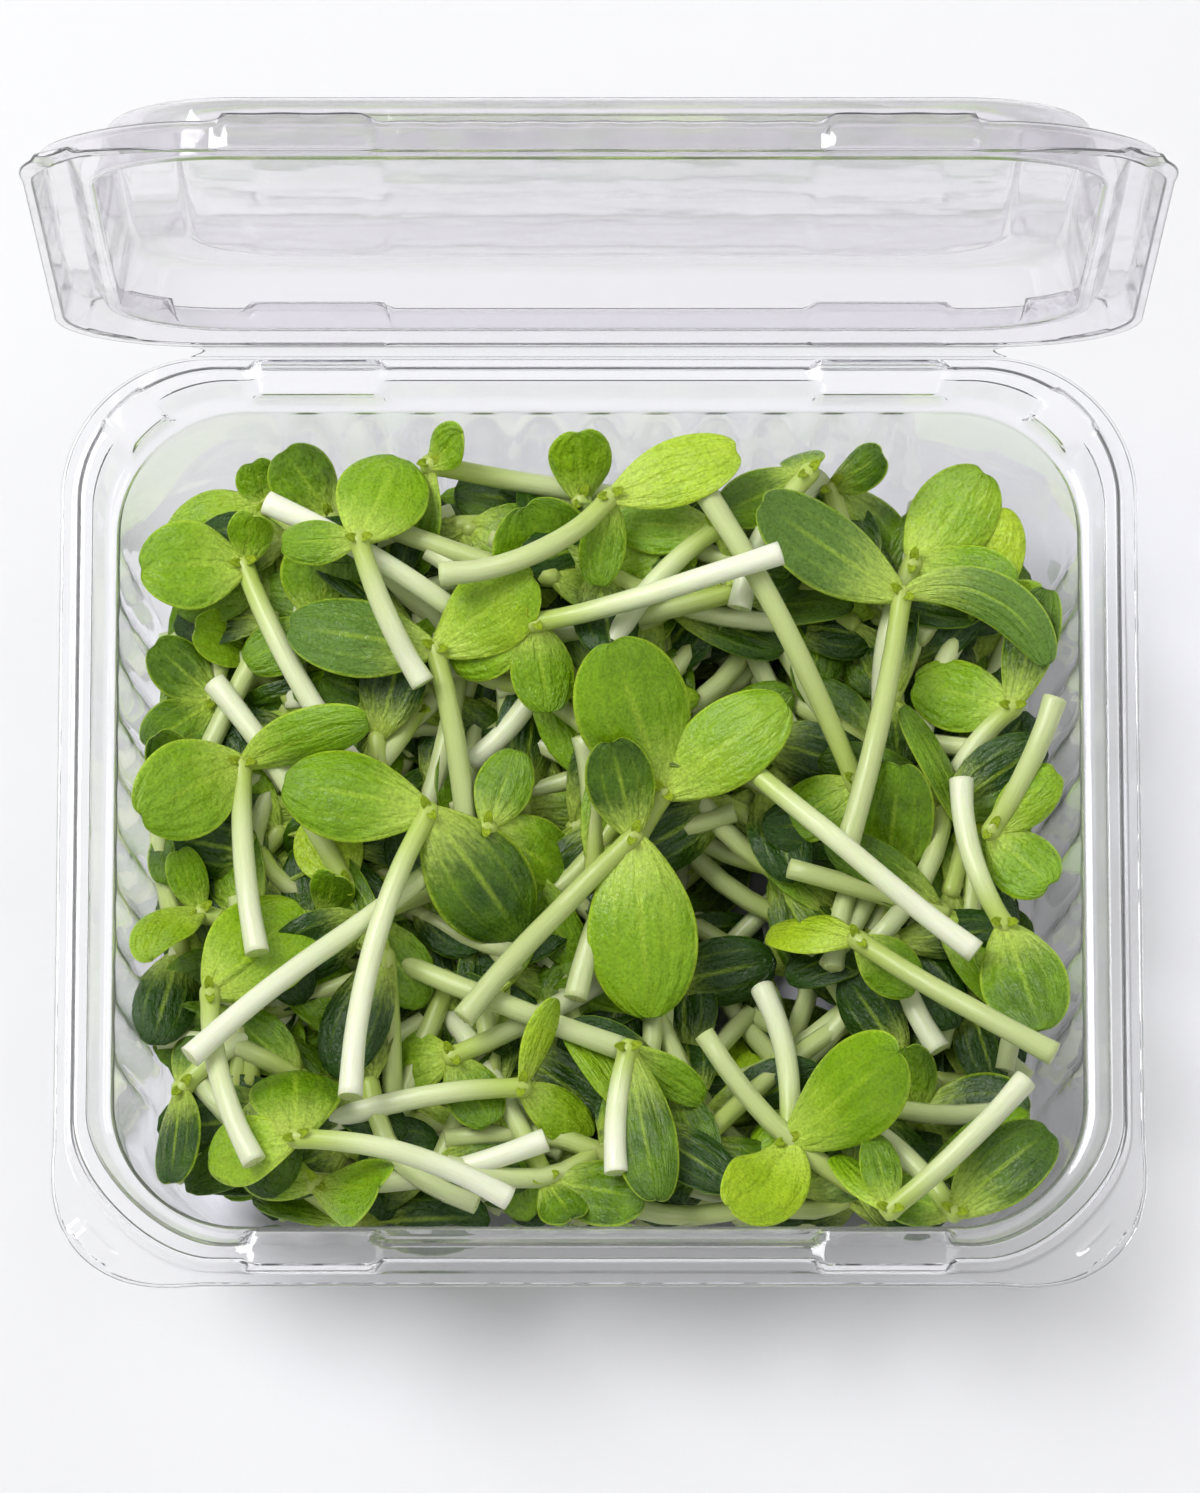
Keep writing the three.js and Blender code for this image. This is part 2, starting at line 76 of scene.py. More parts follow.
# The stage, in metres: half the floor's side, the place that the lights and the camera face, and each
# light's place, side and share of the power.
FLOOR_HALF = 3.0
LIT_PLACE = (0, 0, 0.03)
CAMERA_TARGET = (0.0002, 0.0122, 0.050)
LIGHTS = (("overhead", (-0.8, 0.5, 1.35), 0.8, 1.0), ("right_side", (0.9, 0.3, 1.2), 0.6, 0.12))

# The shape rules that the shoots share with their frame solids.
STEM_RADIUS = 2.0
STEM_STATIONS = 5
LEAF_NECK = 0.2
LEAF_WIDEST = 0.55
LEAF_RINGS = 4
LEAF_THICK = 1.4

# The bud: the length and width of its leaves, how steeply they rise, how far they bend over and how far
# above the crown they begin.
BUD_LENGTH, BUD_WIDTH, BUD_LIFT, BUD_DROOP, BUD_ABOVE = 3.4, 1.7, 62.0, 35.0, 0.6
BUD_TONE = 0.85

# The material slots of a shoot after the leaf's upper side.
UNDER_SLOT, STEM_SLOT = 1, 2

# Rings along a surface and points round it: a modelled leaf and stem, a bud, and the lower greens.
LEAF_RING_COUNT, LEAF_AROUND = 34, 36
STEM_SAMPLES, STEM_AROUND = 36, 14
BUD_RINGS, BUD_AROUND = 8, 10
LOWER_RINGS, LOWER_AROUND = 9, 8
LOWER_STEM_SAMPLES, LOWER_STEM_AROUND = 7, 7

# The lower greens: the squares in which the heap's height is read and its height beside the walls, then
# least and greatest depth below it, least heights of any point and of a leaf, how near to the wall a wall
# shoot comes, the room kept in the corners, the clearance to the wall, and the stems' radius.
HEAP_CELL = 4.0
HEAP_EDGE = 44
BURIED = 7.5
DEEPEST = 24
LOWEST_POINT = 3.5
LOWEST_LEAF = 7.5
WALL_REACH = 7
CORNER_ROOM = 17
WALL_CLEARANCE = 1.6
TRIES_PER_SHOOT = 60
LOWER_STEM_RADIUS = 1.8
LOWER_SEED, WALL_SEED = 11, 12

# The pressed sheet: its corner radius and how much of it each millimetre of inset takes away, the inner
# wall's insets at the flange and at the foot, the foot's height, the shut lid's lift over the tray and
# its dome's rise, and columns along each side, each end and each corner.
CORNER = 25.0
CORNER_LOSS = 0.35
WALL_TOP = 10.2
WALL_FOOT = 17.4
FOOT_Z = 5.0
LID_LIFT = 0.45
DOME_RISE = 12.0
SIDE_COLUMNS, END_COLUMNS, CORNER_COLUMNS = 92, 108, 36

# The snap blocks: distance from the middle, half-length, length of their slope, rise and how far they
# stand out. A flute fades out over a share of the straight side.
SNAP_AT = 48.0
BLOCK_HALF = 12
BLOCK_SLOPE = 1.5
BLOCK_RISE = 0.8
BLOCK_OUT = 0.8
FLUTE_FADE = 0.12
PROFILE_ROUNDING, ROUNDING_STEPS, LONGEST_STEP = 0.8, 4, 4.5
MIDDLE_SHARES = (0.7, 0.35, 0.05)

# Each shoot as it lies: crown and cut end in plan, sideways bow of the stem, then its two seed leaves.
# A leaf is heading from +X, length, width, then lift, droop, turn, roll and fold in degrees.
SHOOTS = [
    [[-66, 26], [-44, -4], 2, [140, 15, 10, 0], [222, 17, 11, 0, 20]],
    [[-69, 7], [-38, 16], -2, [124, 16, 9, 0], [250, 16, 10, 0, 10]],
    [[-57, 36], [-28, 18], 2, [174, 17, 10, 0, 10], [85, 18, 12, 0]],
    [[-57, 60], [-28, 40], 2, [198, 19, 12, 10, 40], [112, 9, 8, 0]],
    [[-46, 57], [-52, 25], 2, [128, 15, 12, 0], [4, 20, 9, 0]],
    [[-29, 65], [30, 60], 1, [25, 13, 8, 0, 0, 0, 0, 20], [-108, 20, 9, 0, 15, 20, 35]],
    [[-47, 38], [-24, 12], 2, [92, 16, 15, 0], [205, 16, 10, 0]],
    [[-31, 24], [-52, 2], -2, [165, 18, 13, 0], [20, 14, 10, 0]],
    [[-12, 31], [-57, 57], 1, [-65, 20, 14, 0], [40, 14, 10, 0]],
    [[-3, 59], [16, 32], 2, [92, 14, 11, 5], [-85, 18, 11, 0]],
    [[-5, 41], [-22, 14], -3, [118, 22, 18, 0], [20, 25, 11, 5, 15, 0, 0, 20]],
    [[20, 52], [0, 28], 2, [174, 18, 10, 0], [-20, 16, 10, 0]],
    [[34, 25], [58, 30], -1, [176, 22, 12, 0], [-40, 15, 11, 0]],
    [[12, -8], [-14, -34], 2, [50, 20, 13, 0], [-25, 18, 11, 0]],
    [[-42, -25], [-6, -53], 2, [215, 15, 10, 0], [80, 14, 9, 0]],
    [[-9, -59], [-30, -22], 1, [-18, 21, 12, 0], [-60, 12, 9, 0]],
    [[-25, -38], [2, -22], 1, [182, 21, 14, 0], [-60, 14, 10, 0]],
    [[-71, -43], [-48, -28], -2, [266, 21, 9, 0, 10, 0, 30], [70, 12, 8, 0]],
    [[-68, -12], [-42, -12], 2, [205, 25, 10, 10, 20, 70, 20, 15], [112, 13, 7, 0]],
    [[-43, -8], [-66, 28], 1, [115, 14, 12, 5], [-20, 16, 10, 0]],
    [[-47, -13], [4, -37], 2, [185, 18, 9, 0], [70, 12, 8, 0]],
    [[65, 42], [55, 16], 2, [76, 19, 12, 5], [12, 13, 7, 0]],
    [[71, 24], [58, 4], 2, [73, 22, 10, 5, 0, 0, -20, 20], [165, 18, 13, 0]],
    [[40, 63], [57, 37], 3, [-50, 21, 14, 0], [18, 15, 8, 0]],
    [[36, 62], [24, 38], 2, [106, 10, 8, 10], [208, 18, 10, 0]],
    [[54, 49], [49, 22], 2, [52, 21, 15, 5], [-15, 19, 12, 0]],
    [[64, 2], [58, -34], -2, [113, 27, 8, 5, 15, 15, 40], [-140, 13, 9, 0]],
    [[67, 1], [78, 23], 1, [40, 16, 9, 0], [-46, 15, 12, 0]],
    [[69, -16], [62, 10], -2, [-74, 23, 15, 5], [-50, 18, 10, 0, 0, -40]],
    [[44, 9], [18, 57], 1, [-25, 18, 12, 0], [205, 16, 11, 0]],
    [[49, -8], [58, -36], 2, [83, 26, 14, 0], [163, 18, 12, 0]],
    [[52, 42], [42, -4], -1, [152, 31, 15, 15, 25, 0, 10], [20, 32, 9, 20, 40, -95, 20]],
    [[24, 12], [64, -22], 1, [62, 12, 9, 0], [190, 12, 9, 0]],
    [[54, -47], [28, -60], 2, [-3, 21, 16, 0], [100, 14, 10, 0]],
    [[60, -67], [36, -44], 2, [39, 23, 13, 5, 10, 0, 0, 10], [160, 13, 9, 0]],
    [[49, -68], [72, -46], 1, [124, 20, 8, 5, 0, 0, 30], [100, 16, 7, 0]],
    [[-13, -44], [-46, -49], 1, [68, 17, 6, 20, 0, 0, 40], [-30, 16, 9, 0, 15]],
    [[5, -38], [3, -60], 1, [-80, 29, 11, 0, 10], [-30, 17, 7, 0, 0, 0, 20]],
    [[27, -22], [4, 4], 2, [-94, 25, 14, 5], [-48, 27, 16, 5, 15]],
    [[44, -19], [77, -41], 1, [158, 23, 10, 5, 0, 0, 25], [-35, 14, 10, 0]],
    [[32, -53], [28, -24], 2, [28, 33, 17, 10, 10], [-96, 25, 14, 0, 0, -60, 0, 15]],
    [[-48, -60], [-9, -53], 2, [-25, 25, 13, 0, 10], [165, 14, 9, 0]],
    [[-51, -56], [-15, -66], -2, [92, 26, 16, 10, 10], [186, 19, 12, 0, 15]],
    [[-66, -29], [-58, -60], 2, [48, 25, 18, 10, 15], [22, 23, 9, 5, 0, 0, 40]],
    [[-61, 48], [-38, 8], 2, [187, 19, 16, 15, 30, 0, 0, 15], [75, 12, 8, 10]],
    [[-61, 13], [-58, -22], 1, [12, 26, 10, 10, 25, 0, 35], [215, 24, 17, 10, 40, 0, -20]],
    [[-11, 35], [31, 45], 1, [200, 18, 11, 0], [-80, 16, 11, 0]],
    [[-28, 32], [-22, -6], -1, [172, 26, 14, 10, 15], [30, 23, 15, 15, 15]],
    [[-19, 1], [-69, -42], 1, [-25, 19, 14, 0], [70, 15, 10, 0]],
    [[-29, 3], [-42, -48], 3, [170, 26, 16, 5, 20], [-52, 28, 18, 5, 15]],
    [[11, 7], [-4, -28], 2, [112, 30, 20, 5, 15], [33, 28, 15, 5, 15]],
    [[6, -1], [-23, -33], 1, [-85, 32, 19, 5, 25], [105, 18, 12, 0]],
    [[2, 56], [-27, 42], -4, [18, 24, 12, 5, 10], [-100, 16, 8, 0]],
    [[-41, 49], [-30, 25], 1, [68, 21, 16, 0, 10], [180, 14, 8, 0]],
]

# Tone of both leaves and of the stem of each shoot: 0 is dark, 0.5 the middle green, 0.8 light and
# 1 a greyer green that is a painted sheen for a leaf, and 0 is blanched and 1 olive for a stem. A leaf's tone
# follows how light or dark it looks where it lies, so besides its own green it carries painted light and
# shade.
TONES = [
    (0.25, 0.25, 0.3), (0.2, 0.25, 0.3), (0.55, 0.45, 0.3), (0.55, 0.4, 0.3), (0.3, 0.45, 0.3),
    (0.5, 0.3, 0.3), (0.3, 0.35, 0.3), (0.2, 0.3, 0.3), (0.3, 0.3, 0.0), (0.5, 0.5, 0.3),
    (0.3, 0.62, 0.3), (0.45, 0.2, 0.3), (1.0, 0.3, 0.3), (0.15, 0.2, 0.3), (0.6, 0.35, 0.8),
    (0.25, 0.25, 0.3), (0.4, 0.3, 0.3), (0.12, 0.2, 0.3), (0.58, 0.4, 0.3), (0.8, 0.5, 0.3),
    (0.3, 0.3, 0.8), (0.85, 0.6, 0.3), (0.2, 0.5, 0.3), (0.25, 0.25, 0.9), (0.3, 0.3, 0.3),
    (0.58, 0.4, 0.3), (0.3, 0.45, 0.9), (0.55, 0.4, 0.8), (0.3, 0.45, 0.3), (0.3, 0.4, 0.9),
    (0.3, 0.65, 0.3), (1.0, 1.0, 0.9), (0.35, 0.35, 0.0), (0.1, 0.3, 0.3), (0.22, 0.3, 0.3),
    (0.5, 0.3, 0.3), (0.72, 0.6, 0.3), (0.22, 0.4, 0.0), (0.65, 0.35, 0.3), (0.75, 0.35, 0.9),
    (0.5, 0.75, 0.3), (0.48, 0.45, 0.0), (0.33, 0.6, 0.0), (0.56, 0.45, 0.3), (0.5, 0.45, 0.0),
    (0.45, 0.5, 0.3), (0.5, 0.4, 0.0), (1.0, 0.6, 0.9), (0.35, 0.35, 0.0), (0.42, 0.18, 0.0),
    (0.42, 0.56, 0.8), (0.5, 0.2, 0.9), (0.74, 0.45, 0.8), (0.5, 0.4, 0.3),
]


# ---------------------------------------------------------------- meshes from arrays

def ring_quads(rings, around):
    """Four-sided faces between neighbours of neighbouring rings of points."""
    ring = np.arange(rings - 1)[:, None] * around
    here = np.arange(around)[None, :]
    following = (here + 1) % around
    quads = np.stack([ring + here, ring + following, ring + around + following, ring + around + here], -1)
    return quads.reshape(-1, 4)


def tube_faces(count, rings, around):
    """Faces of `count` closed tubes, each of `rings` rings of `around` points and then two poles:
    four-sided faces between the rings, and a fan of triangles on each pole."""
    here = np.arange(around)
    following = (here + 1) % around
    tail = (rings - 1) * around
    start = np.stack([np.full(around, rings * around), following, here], -1)
    end = np.stack([np.full(around, rings * around + 1), tail + here, tail + following], -1)
    shift = np.arange(count)[:, None, None] * (rings * around + 2)
    quads = ring_quads(rings, around)[None] + shift
    triangles = np.concatenate([start, end])[None] + shift
    return quads.reshape(-1, 4), triangles.reshape(-1, 3)


def plain_part(points, quads, triangles):
    """Points and faces as a part, whose faces all take its first material."""
    return {
        "points": points, "quads": quads, "triangles": triangles,
        "quad_material": np.zeros(len(quads), int), "triangle_material": np.zeros(len(triangles), int),
    }


def in_slot(part, slot):
    """The part with all its faces on one material slot."""
    part["quad_material"][:] = slot
    part["triangle_material"][:] = slot
    return part


def with_poles(rings):
    """Adds the middle of the first and of the last ring of each tube after its ring points.
    rings is (tubes, rings, points, values), and the result is (tubes, points, values)."""
    flat = rings.reshape(rings.shape[0], -1, rings.shape[-1])
    poles = np.stack([rings[:, 0].mean(1), rings[:, -1].mean(1)], 1)
    return np.concatenate([flat, poles], 1)


def signed_volume(points, quads, triangles):
    """Sum over the faces of a dot (b cross c): positive where the faces point out."""
    split = np.concatenate([quads[:, [0, 1, 2]], quads[:, [0, 2, 3]], triangles])
    a, b, c = (points[split[:, i]] for i in range(3))
    return np.einsum("ij,ij->", a, np.cross(b, c))


def tubes(rings, uv, tone):
    """One batch of closed tubes as a dictionary of arrays, with its faces turned to point out."""
    count, ring_count, around = rings.shape[:3]
    quads, triangles = tube_faces(count, ring_count, around)
    points = with_poles(rings).reshape(-1, 3)
    if signed_volume(points, quads, triangles) < 0:
        quads, triangles = quads[:, ::-1], triangles[:, ::-1]
    part = plain_part(points, quads, triangles)
    part["uv"] = with_poles(uv).reshape(-1, 2)
    part["tone"] = np.repeat(tone, ring_count * around + 2)
    return part


def joined(parts):
    """Several batches of tubes as one, with the later ones' point numbers moved up."""
    offset = np.cumsum([0] + [len(part["points"]) for part in parts[:-1]])
    whole = {}
    for key in parts[0]:
        values = [part[key] for part in parts]
        if key in ("quads", "triangles"):
            values = [value + shift for value, shift in zip(values, offset)]
        whole[key] = np.concatenate(values)
    return whole


def make_piece(name, part, materials, body):
    """A mesh object from a batch of tubes, riding on a body. Its place is in its mesh, in metres."""
    mesh = bpy.data.meshes.new(name)
    quads, triangles = part["quads"], part["triangles"]
    loops = np.concatenate([quads.ravel(), triangles.ravel()]).astype(np.int32)
    totals = np.concatenate([np.full(len(quads), 4), np.full(len(triangles), 3)]).astype(np.int32)
    starts = np.concatenate([[0], np.cumsum(totals)[:-1]]).astype(np.int32)
    mesh.vertices.add(len(part["points"]))
    mesh.vertices.foreach_set("co", (part["points"] * MM).astype(np.float32).ravel())
    mesh.loops.add(len(loops))
    mesh.loops.foreach_set("vertex_index", loops)
    mesh.polygons.add(len(totals))
    mesh.polygons.foreach_set("loop_start", starts)
    mesh.polygons.foreach_set("loop_total", totals)
    slots = np.concatenate([part["quad_material"], part["triangle_material"]])
    mesh.polygons.foreach_set("material_index", slots.astype(np.int32))
    mesh.polygons.foreach_set("use_smooth", np.ones(len(totals), bool))
    if "uv" in part:
        layer = mesh.uv_layers.new(name="UVMap")
        layer.data.foreach_set("uv", part["uv"][loops].astype(np.float32).ravel())
        tone = mesh.attributes.new("tone", "FLOAT", "POINT")
        tone.data.foreach_set("value", part["tone"].astype(np.float32))
    mesh.update()
    for material in materials:
        mesh.materials.append(material)
    piece = bpy.data.objects.new(name, mesh)
    bpy.context.scene.collection.objects.link(piece)
    if body:
        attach(piece, body)
    return piece


# ---------------------------------------------------------------- leaves and stems

def leaf_outline(along):
    """Half-width of a seed leaf over its widest: from a narrow neck a quarter sine raised to 0.85
    up to the widest place, then a quarter ellipse to the tip."""
    rising = np.clip(along / LEAF_WIDEST, 0, 1)
    falling = np.clip((along - LEAF_WIDEST) / (1 - LEAF_WIDEST), 0, 1)
    neck = LEAF_NECK + (1 - LEAF_NECK) * np.sin(np.pi / 2 * rising) ** 0.85
    return np.where(along < LEAF_WIDEST, neck, np.sqrt(1 - falling ** 2))


def leaf_frames(leaves, lift, droop, along):
    """Centre line of each leaf from its base, with its forward, side and up directions.
    The heading grows by the turn and the pitch falls by the droop in step with the length, and the
    centre moves forward by the middle direction of each step. Side is level, then rolled about forward."""
    heading, length, turn, roll = (leaves[:, i][:, None] for i in (0, 1, 5, 6))
    lift, droop = lift[:, None], droop[:, None]

    def directions(u):
        """The course at each share of the length, and the forward direction."""
        course = np.radians(heading + turn * u)
        pitch = np.radians(lift - droop * u)
        return course, np.stack(
            [np.cos(pitch) * np.cos(course), np.cos(pitch) * np.sin(course), np.sin(pitch)], -1
        )

    course, forward = directions(along[None, :])
    middle = (along[1:] + along[:-1]) / 2
    steps = directions(middle[None, :])[1] * (length * np.diff(along)[None, :])[..., None]
    centre = np.concatenate([np.zeros((len(leaves), 1, 3)), np.cumsum(steps, 1)], 1)
    level = np.stack([np.sin(course), -np.cos(course), np.zeros_like(course)], -1)
    angle = np.radians(roll)[..., None]
    side = level * np.cos(angle) + np.cross(forward, level) * np.sin(angle)
    return centre, forward, side, np.cross(side, forward)


def blade_rings(crown, leaves, lift, droop, character, rings, around):
    """Closed surfaces of seed leaves. Across each ring the place runs as a cosine, so points gather at
    the margins, and the half-thickness is the square root of one less the fifth power of the place, which
    rounds a fleshy margin. The midrib and two side veins are shallow bell-shaped grooves above and ridges
    below, the blade is crowned with the square of the place, and a bell-shaped notch is pulled in at the tip.
    character holds, for each leaf, its cup, its waviness, a phase, its thickness and its notch."""
    spread = np.linspace(0, 1, rings)
    along = 1 - (1 - spread) ** 1.6
    along = np.clip(along, 0, 0.9995)
    centre, forward, side, up = leaf_frames(leaves, lift, droop, along)
    angle = np.linspace(0, 2 * np.pi, around, endpoint=False) + np.pi / around
    across = np.cos(angle)[None, None, :]
    face = np.sign(np.sin(angle))[None, None, :]
    cup, wave, phase, thick, bite = (character[:, i][:, None, None] for i in range(5))
    u = along[None, :, None]
    width = leaves[:, 2][:, None, None]
    half = width / 2 * leaf_outline(u)
    fold = np.tan(np.radians(leaves[:, 7]))[:, None, None]
    body = thick * (0.62 - 0.22 * u) + 1.1 * np.exp(-(u / 0.09) ** 2)
    edge = np.sqrt(np.clip(1 - np.abs(across) ** 5, 0, 1))
    place = across * half
    fade = np.clip(1 - u / 0.92, 0, 1) * np.clip(u / 0.05, 0, 1)
    midrib = np.exp(-(place / 0.65) ** 2) * fade
    lateral = np.exp(-((np.abs(place) - 0.5 * half) / 0.55) ** 2) * fade * np.clip((half - 3) / 2, 0, 1)
    relief = -(0.3 * midrib + 0.08 * lateral)
    ripple = wave * np.sin(7 * u + phase + 1.5 * np.sign(across)) * across ** 2
    arch = cup * (across ** 2) * leaf_outline(u)
    height = face * body / 2 * edge + relief + ripple + arch + fold * np.abs(place)
    notch = bite * np.exp(-(place / 1.3) ** 2) * np.clip((u - 0.7) / 0.3, 0, 1) ** 2
    points = (
        crown[:, None, None, :] + centre[:, :, None, :]
        + place[..., None] * side[:, :, None, :] + height[..., None] * up[:, :, None, :]
        - notch[..., None] * forward[:, :, None, :]
    )
    wide = np.broadcast_to(across / 2 + 0.5, points.shape[:3])
    uv = np.stack([np.broadcast_to(u, points.shape[:3]), wide], -1)
    return points, uv


def two_sided(part, count, rings, around):
    """Gives the faces on the lower half of each leaf the under side's material."""
    lower = np.arange(around) >= around // 2
    part["quad_material"] = np.where(np.tile(lower, count * (rings - 1)), UNDER_SLOT, 0)
    return part


def smooth_path(stations, points, samples):
    """Points between the stations on a cubic through them whose slope at each is that between its
    neighbours, a Catmull-Rom curve, for each path. points is (paths, stations, values)."""
    slopes = np.gradient(points, stations, axis=1)
    cell = np.clip(np.searchsorted(stations, samples, side="right") - 1, 0, len(stations) - 2)
    width = (stations[cell + 1] - stations[cell])[None, :, None]
    t = ((samples - stations[cell]) / (stations[cell + 1] - stations[cell]))[None, :, None]
    a, b = points[:, cell], points[:, cell + 1]
    da, db = slopes[:, cell] * width, slopes[:, cell + 1] * width
    return (
        (2 * t ** 3 - 3 * t ** 2 + 1) * a + (t ** 3 - 2 * t ** 2 + t) * da
        + (3 * t ** 2 - 2 * t ** 3) * b + (t ** 3 - t ** 2) * db
    )


def stem_rings(paths, radius, around):
    """Round sections carried along paths. The side is level and square to the path, and up is square
    to both. Past both ends the rings close on a small radius, so the cut end has a crisp edge and
    the crown a dome."""
    tangent = np.gradient(paths, axis=1)
    tangent /= np.linalg.norm(tangent, axis=-1, keepdims=True)
    side = np.cross(tangent, np.array([0, 0, 1.0]))
    side /= np.maximum(np.linalg.norm(side, axis=-1, keepdims=True), 1e-6)
    up = np.cross(side, tangent)
    angle = np.linspace(0, 2 * np.pi, around, endpoint=False)
    ring = np.cos(angle)[None, None, :, None] * side[:, :, None, :]
    ring = ring + np.sin(angle)[None, None, :, None] * up[:, :, None, :]
    body = paths[:, :, None, :] + radius[:, :, None, None] * ring
    caps = []
    for end, way in ((0, -1), (-1, 1)):
        for share, push in ((0.45, 0.1), (0.9, 0.02)) if end == 0 else ((0.92, 0.45), (0.6, 0.85)):
            reach = radius[:, end, None, None]
            middle = paths[:, end, None, :] + way * push * reach * tangent[:, end, None, :]
            caps.append(middle + share * reach * ring[:, end])
    body = np.concatenate([np.stack(caps[:2], 1), body, np.stack(caps[2:], 1)], 1)
    rows = body.shape[1]
    along = np.concatenate([[-0.06, -0.02], np.linspace(0, 1, rows - 4), [1.01, 1.02]])
    around_share = np.abs(angle / np.pi - 1)
    uv = np.stack(np.broadcast_arrays(along[None, :, None], around_share[None, None, :]), -1)
    return body, np.broadcast_to(uv, body.shape[:3] + (2,))


def stem_plan(crown, foot, bow, share):
    """Plan of a stem from its cut end to its crown: a quadratic curve whose control point lies off the
    middle by twice the bow, square to the line between the ends."""
    line = (crown - foot) / np.linalg.norm(crown - foot)
    control = (crown + foot) / 2 + 2 * bow * np.array([-line[1], line[0]])
    s = share[:, None]
    return (1 - s) ** 2 * foot + 2 * s * (1 - s) * control + s ** 2 * crown


def node_points(node):
    """The points of a frame node's mesh, in millimetres."""
    flat = np.zeros(len(node.data.vertices) * 3)
    node.data.vertices.foreach_get("co", flat)
    return flat.reshape(-1, 3) / MM


def measured_leaf(vertices, crown, leaf):
    """How the frame's solid holds a leaf: the lift and droop, tried in the steps in which it was laid,
    whose outer rings lie on the solid's own points, and the height of the crown that this gives."""
    lifts, droops = np.meshgrid(np.arange(-20, 51, 5.0), np.arange(-20, 71, 10.0), indexing="ij")
    lifts, droops = lifts.ravel(), droops.ravel()
    same = np.repeat(leaf[None], len(lifts), 0)
    along = np.linspace(0, 1, LEAF_RINGS + 2)
    centre, _, side, up = leaf_frames(same, lifts, droops, along)
    half = leaf[2] / 2 * leaf_outline(along)
    half[-1] = 0.12 * leaf[2]
    rise = np.tan(np.radians(leaf[7])) * half
    rings = [centre + way * half[:, None] * side + rise[:, None] * up for way in (-1, 1)]
    tested = np.concatenate(rings, 1)[:, [2, 3, 4, 5, 8, 9, 10, 11]]
    apart = tested[:, :, None, :2] + crown[None, None, None, :] - vertices[None, None, :, :2]
    distance = np.linalg.norm(apart, axis=-1)
    nearest = distance.argmin(-1)
    miss = np.minimum(np.take_along_axis(distance, nearest[..., None], -1)[..., 0], 3)
    heights = vertices[nearest, 2] - tested[..., 2]
    middle = np.median(heights, 1)
    spread = np.minimum(np.abs(heights - middle[:, None]), 3)
    best = (miss + spread).sum(1).argmin()
    return lifts[best], droops[best], middle[best]


def measured_stem(vertices, plan, crown_height):
    """Heights of a stem's middle at its stations: the mean height of the frame solid's points that
    lie across the stem there. Where leaves hide the ring, the height runs on to the crown's."""
    heights = np.full(len(plan), np.nan)
    tangent = np.gradient(plan, axis=0)
    spacing = np.linalg.norm(plan[-1] - plan[0]) / STEM_STATIONS
    tangent /= np.linalg.norm(tangent, axis=1, keepdims=True)
    for i in range(len(plan) - 1):
        away = vertices[:, :2] - plan[i]
        beside = np.abs(away @ np.array([-tangent[i, 1], tangent[i, 0]])) < STEM_RADIUS + 0.2
        near = beside & (np.abs(away @ tangent[i]) < 0.35 * spacing)
        if near.sum() and np.ptp(vertices[near, 2]) < 2 * STEM_RADIUS + 1.2:
            heights[i] = (vertices[near, 2].max() + vertices[near, 2].min()) / 2
    heights[-1] = crown_height
    known = ~np.isnan(heights)
    stations = np.arange(len(plan))
    return np.interp(stations, stations[known], heights[known])


def measured_shoot(name, row):
    """One shoot's stem path, crown and leaf pitches, from the plan row and the frame's solid."""
    vertices = np.unique(np.round(node_points(frame["nodes"][name]), 3), axis=0)
    crown, foot = np.array(row[0], float), np.array(row[1], float)
    leaves = np.array([list(leaf) + [0] * (8 - len(leaf)) for leaf in row[3:]], float)
    fits = np.array([measured_leaf(vertices, crown, leaf) for leaf in leaves])
    plan = stem_plan(crown, foot, row[2], np.linspace(0, 1, STEM_STATIONS + 1))
    heights = measured_stem(vertices, plan, fits[:, 2].mean())
    return {
        "path": np.column_stack([plan, heights]), "leaves": leaves,
        "lift": fits[:, 0], "droop": fits[:, 1], "crown": np.append(crown, fits[:, 2].mean()),
    }


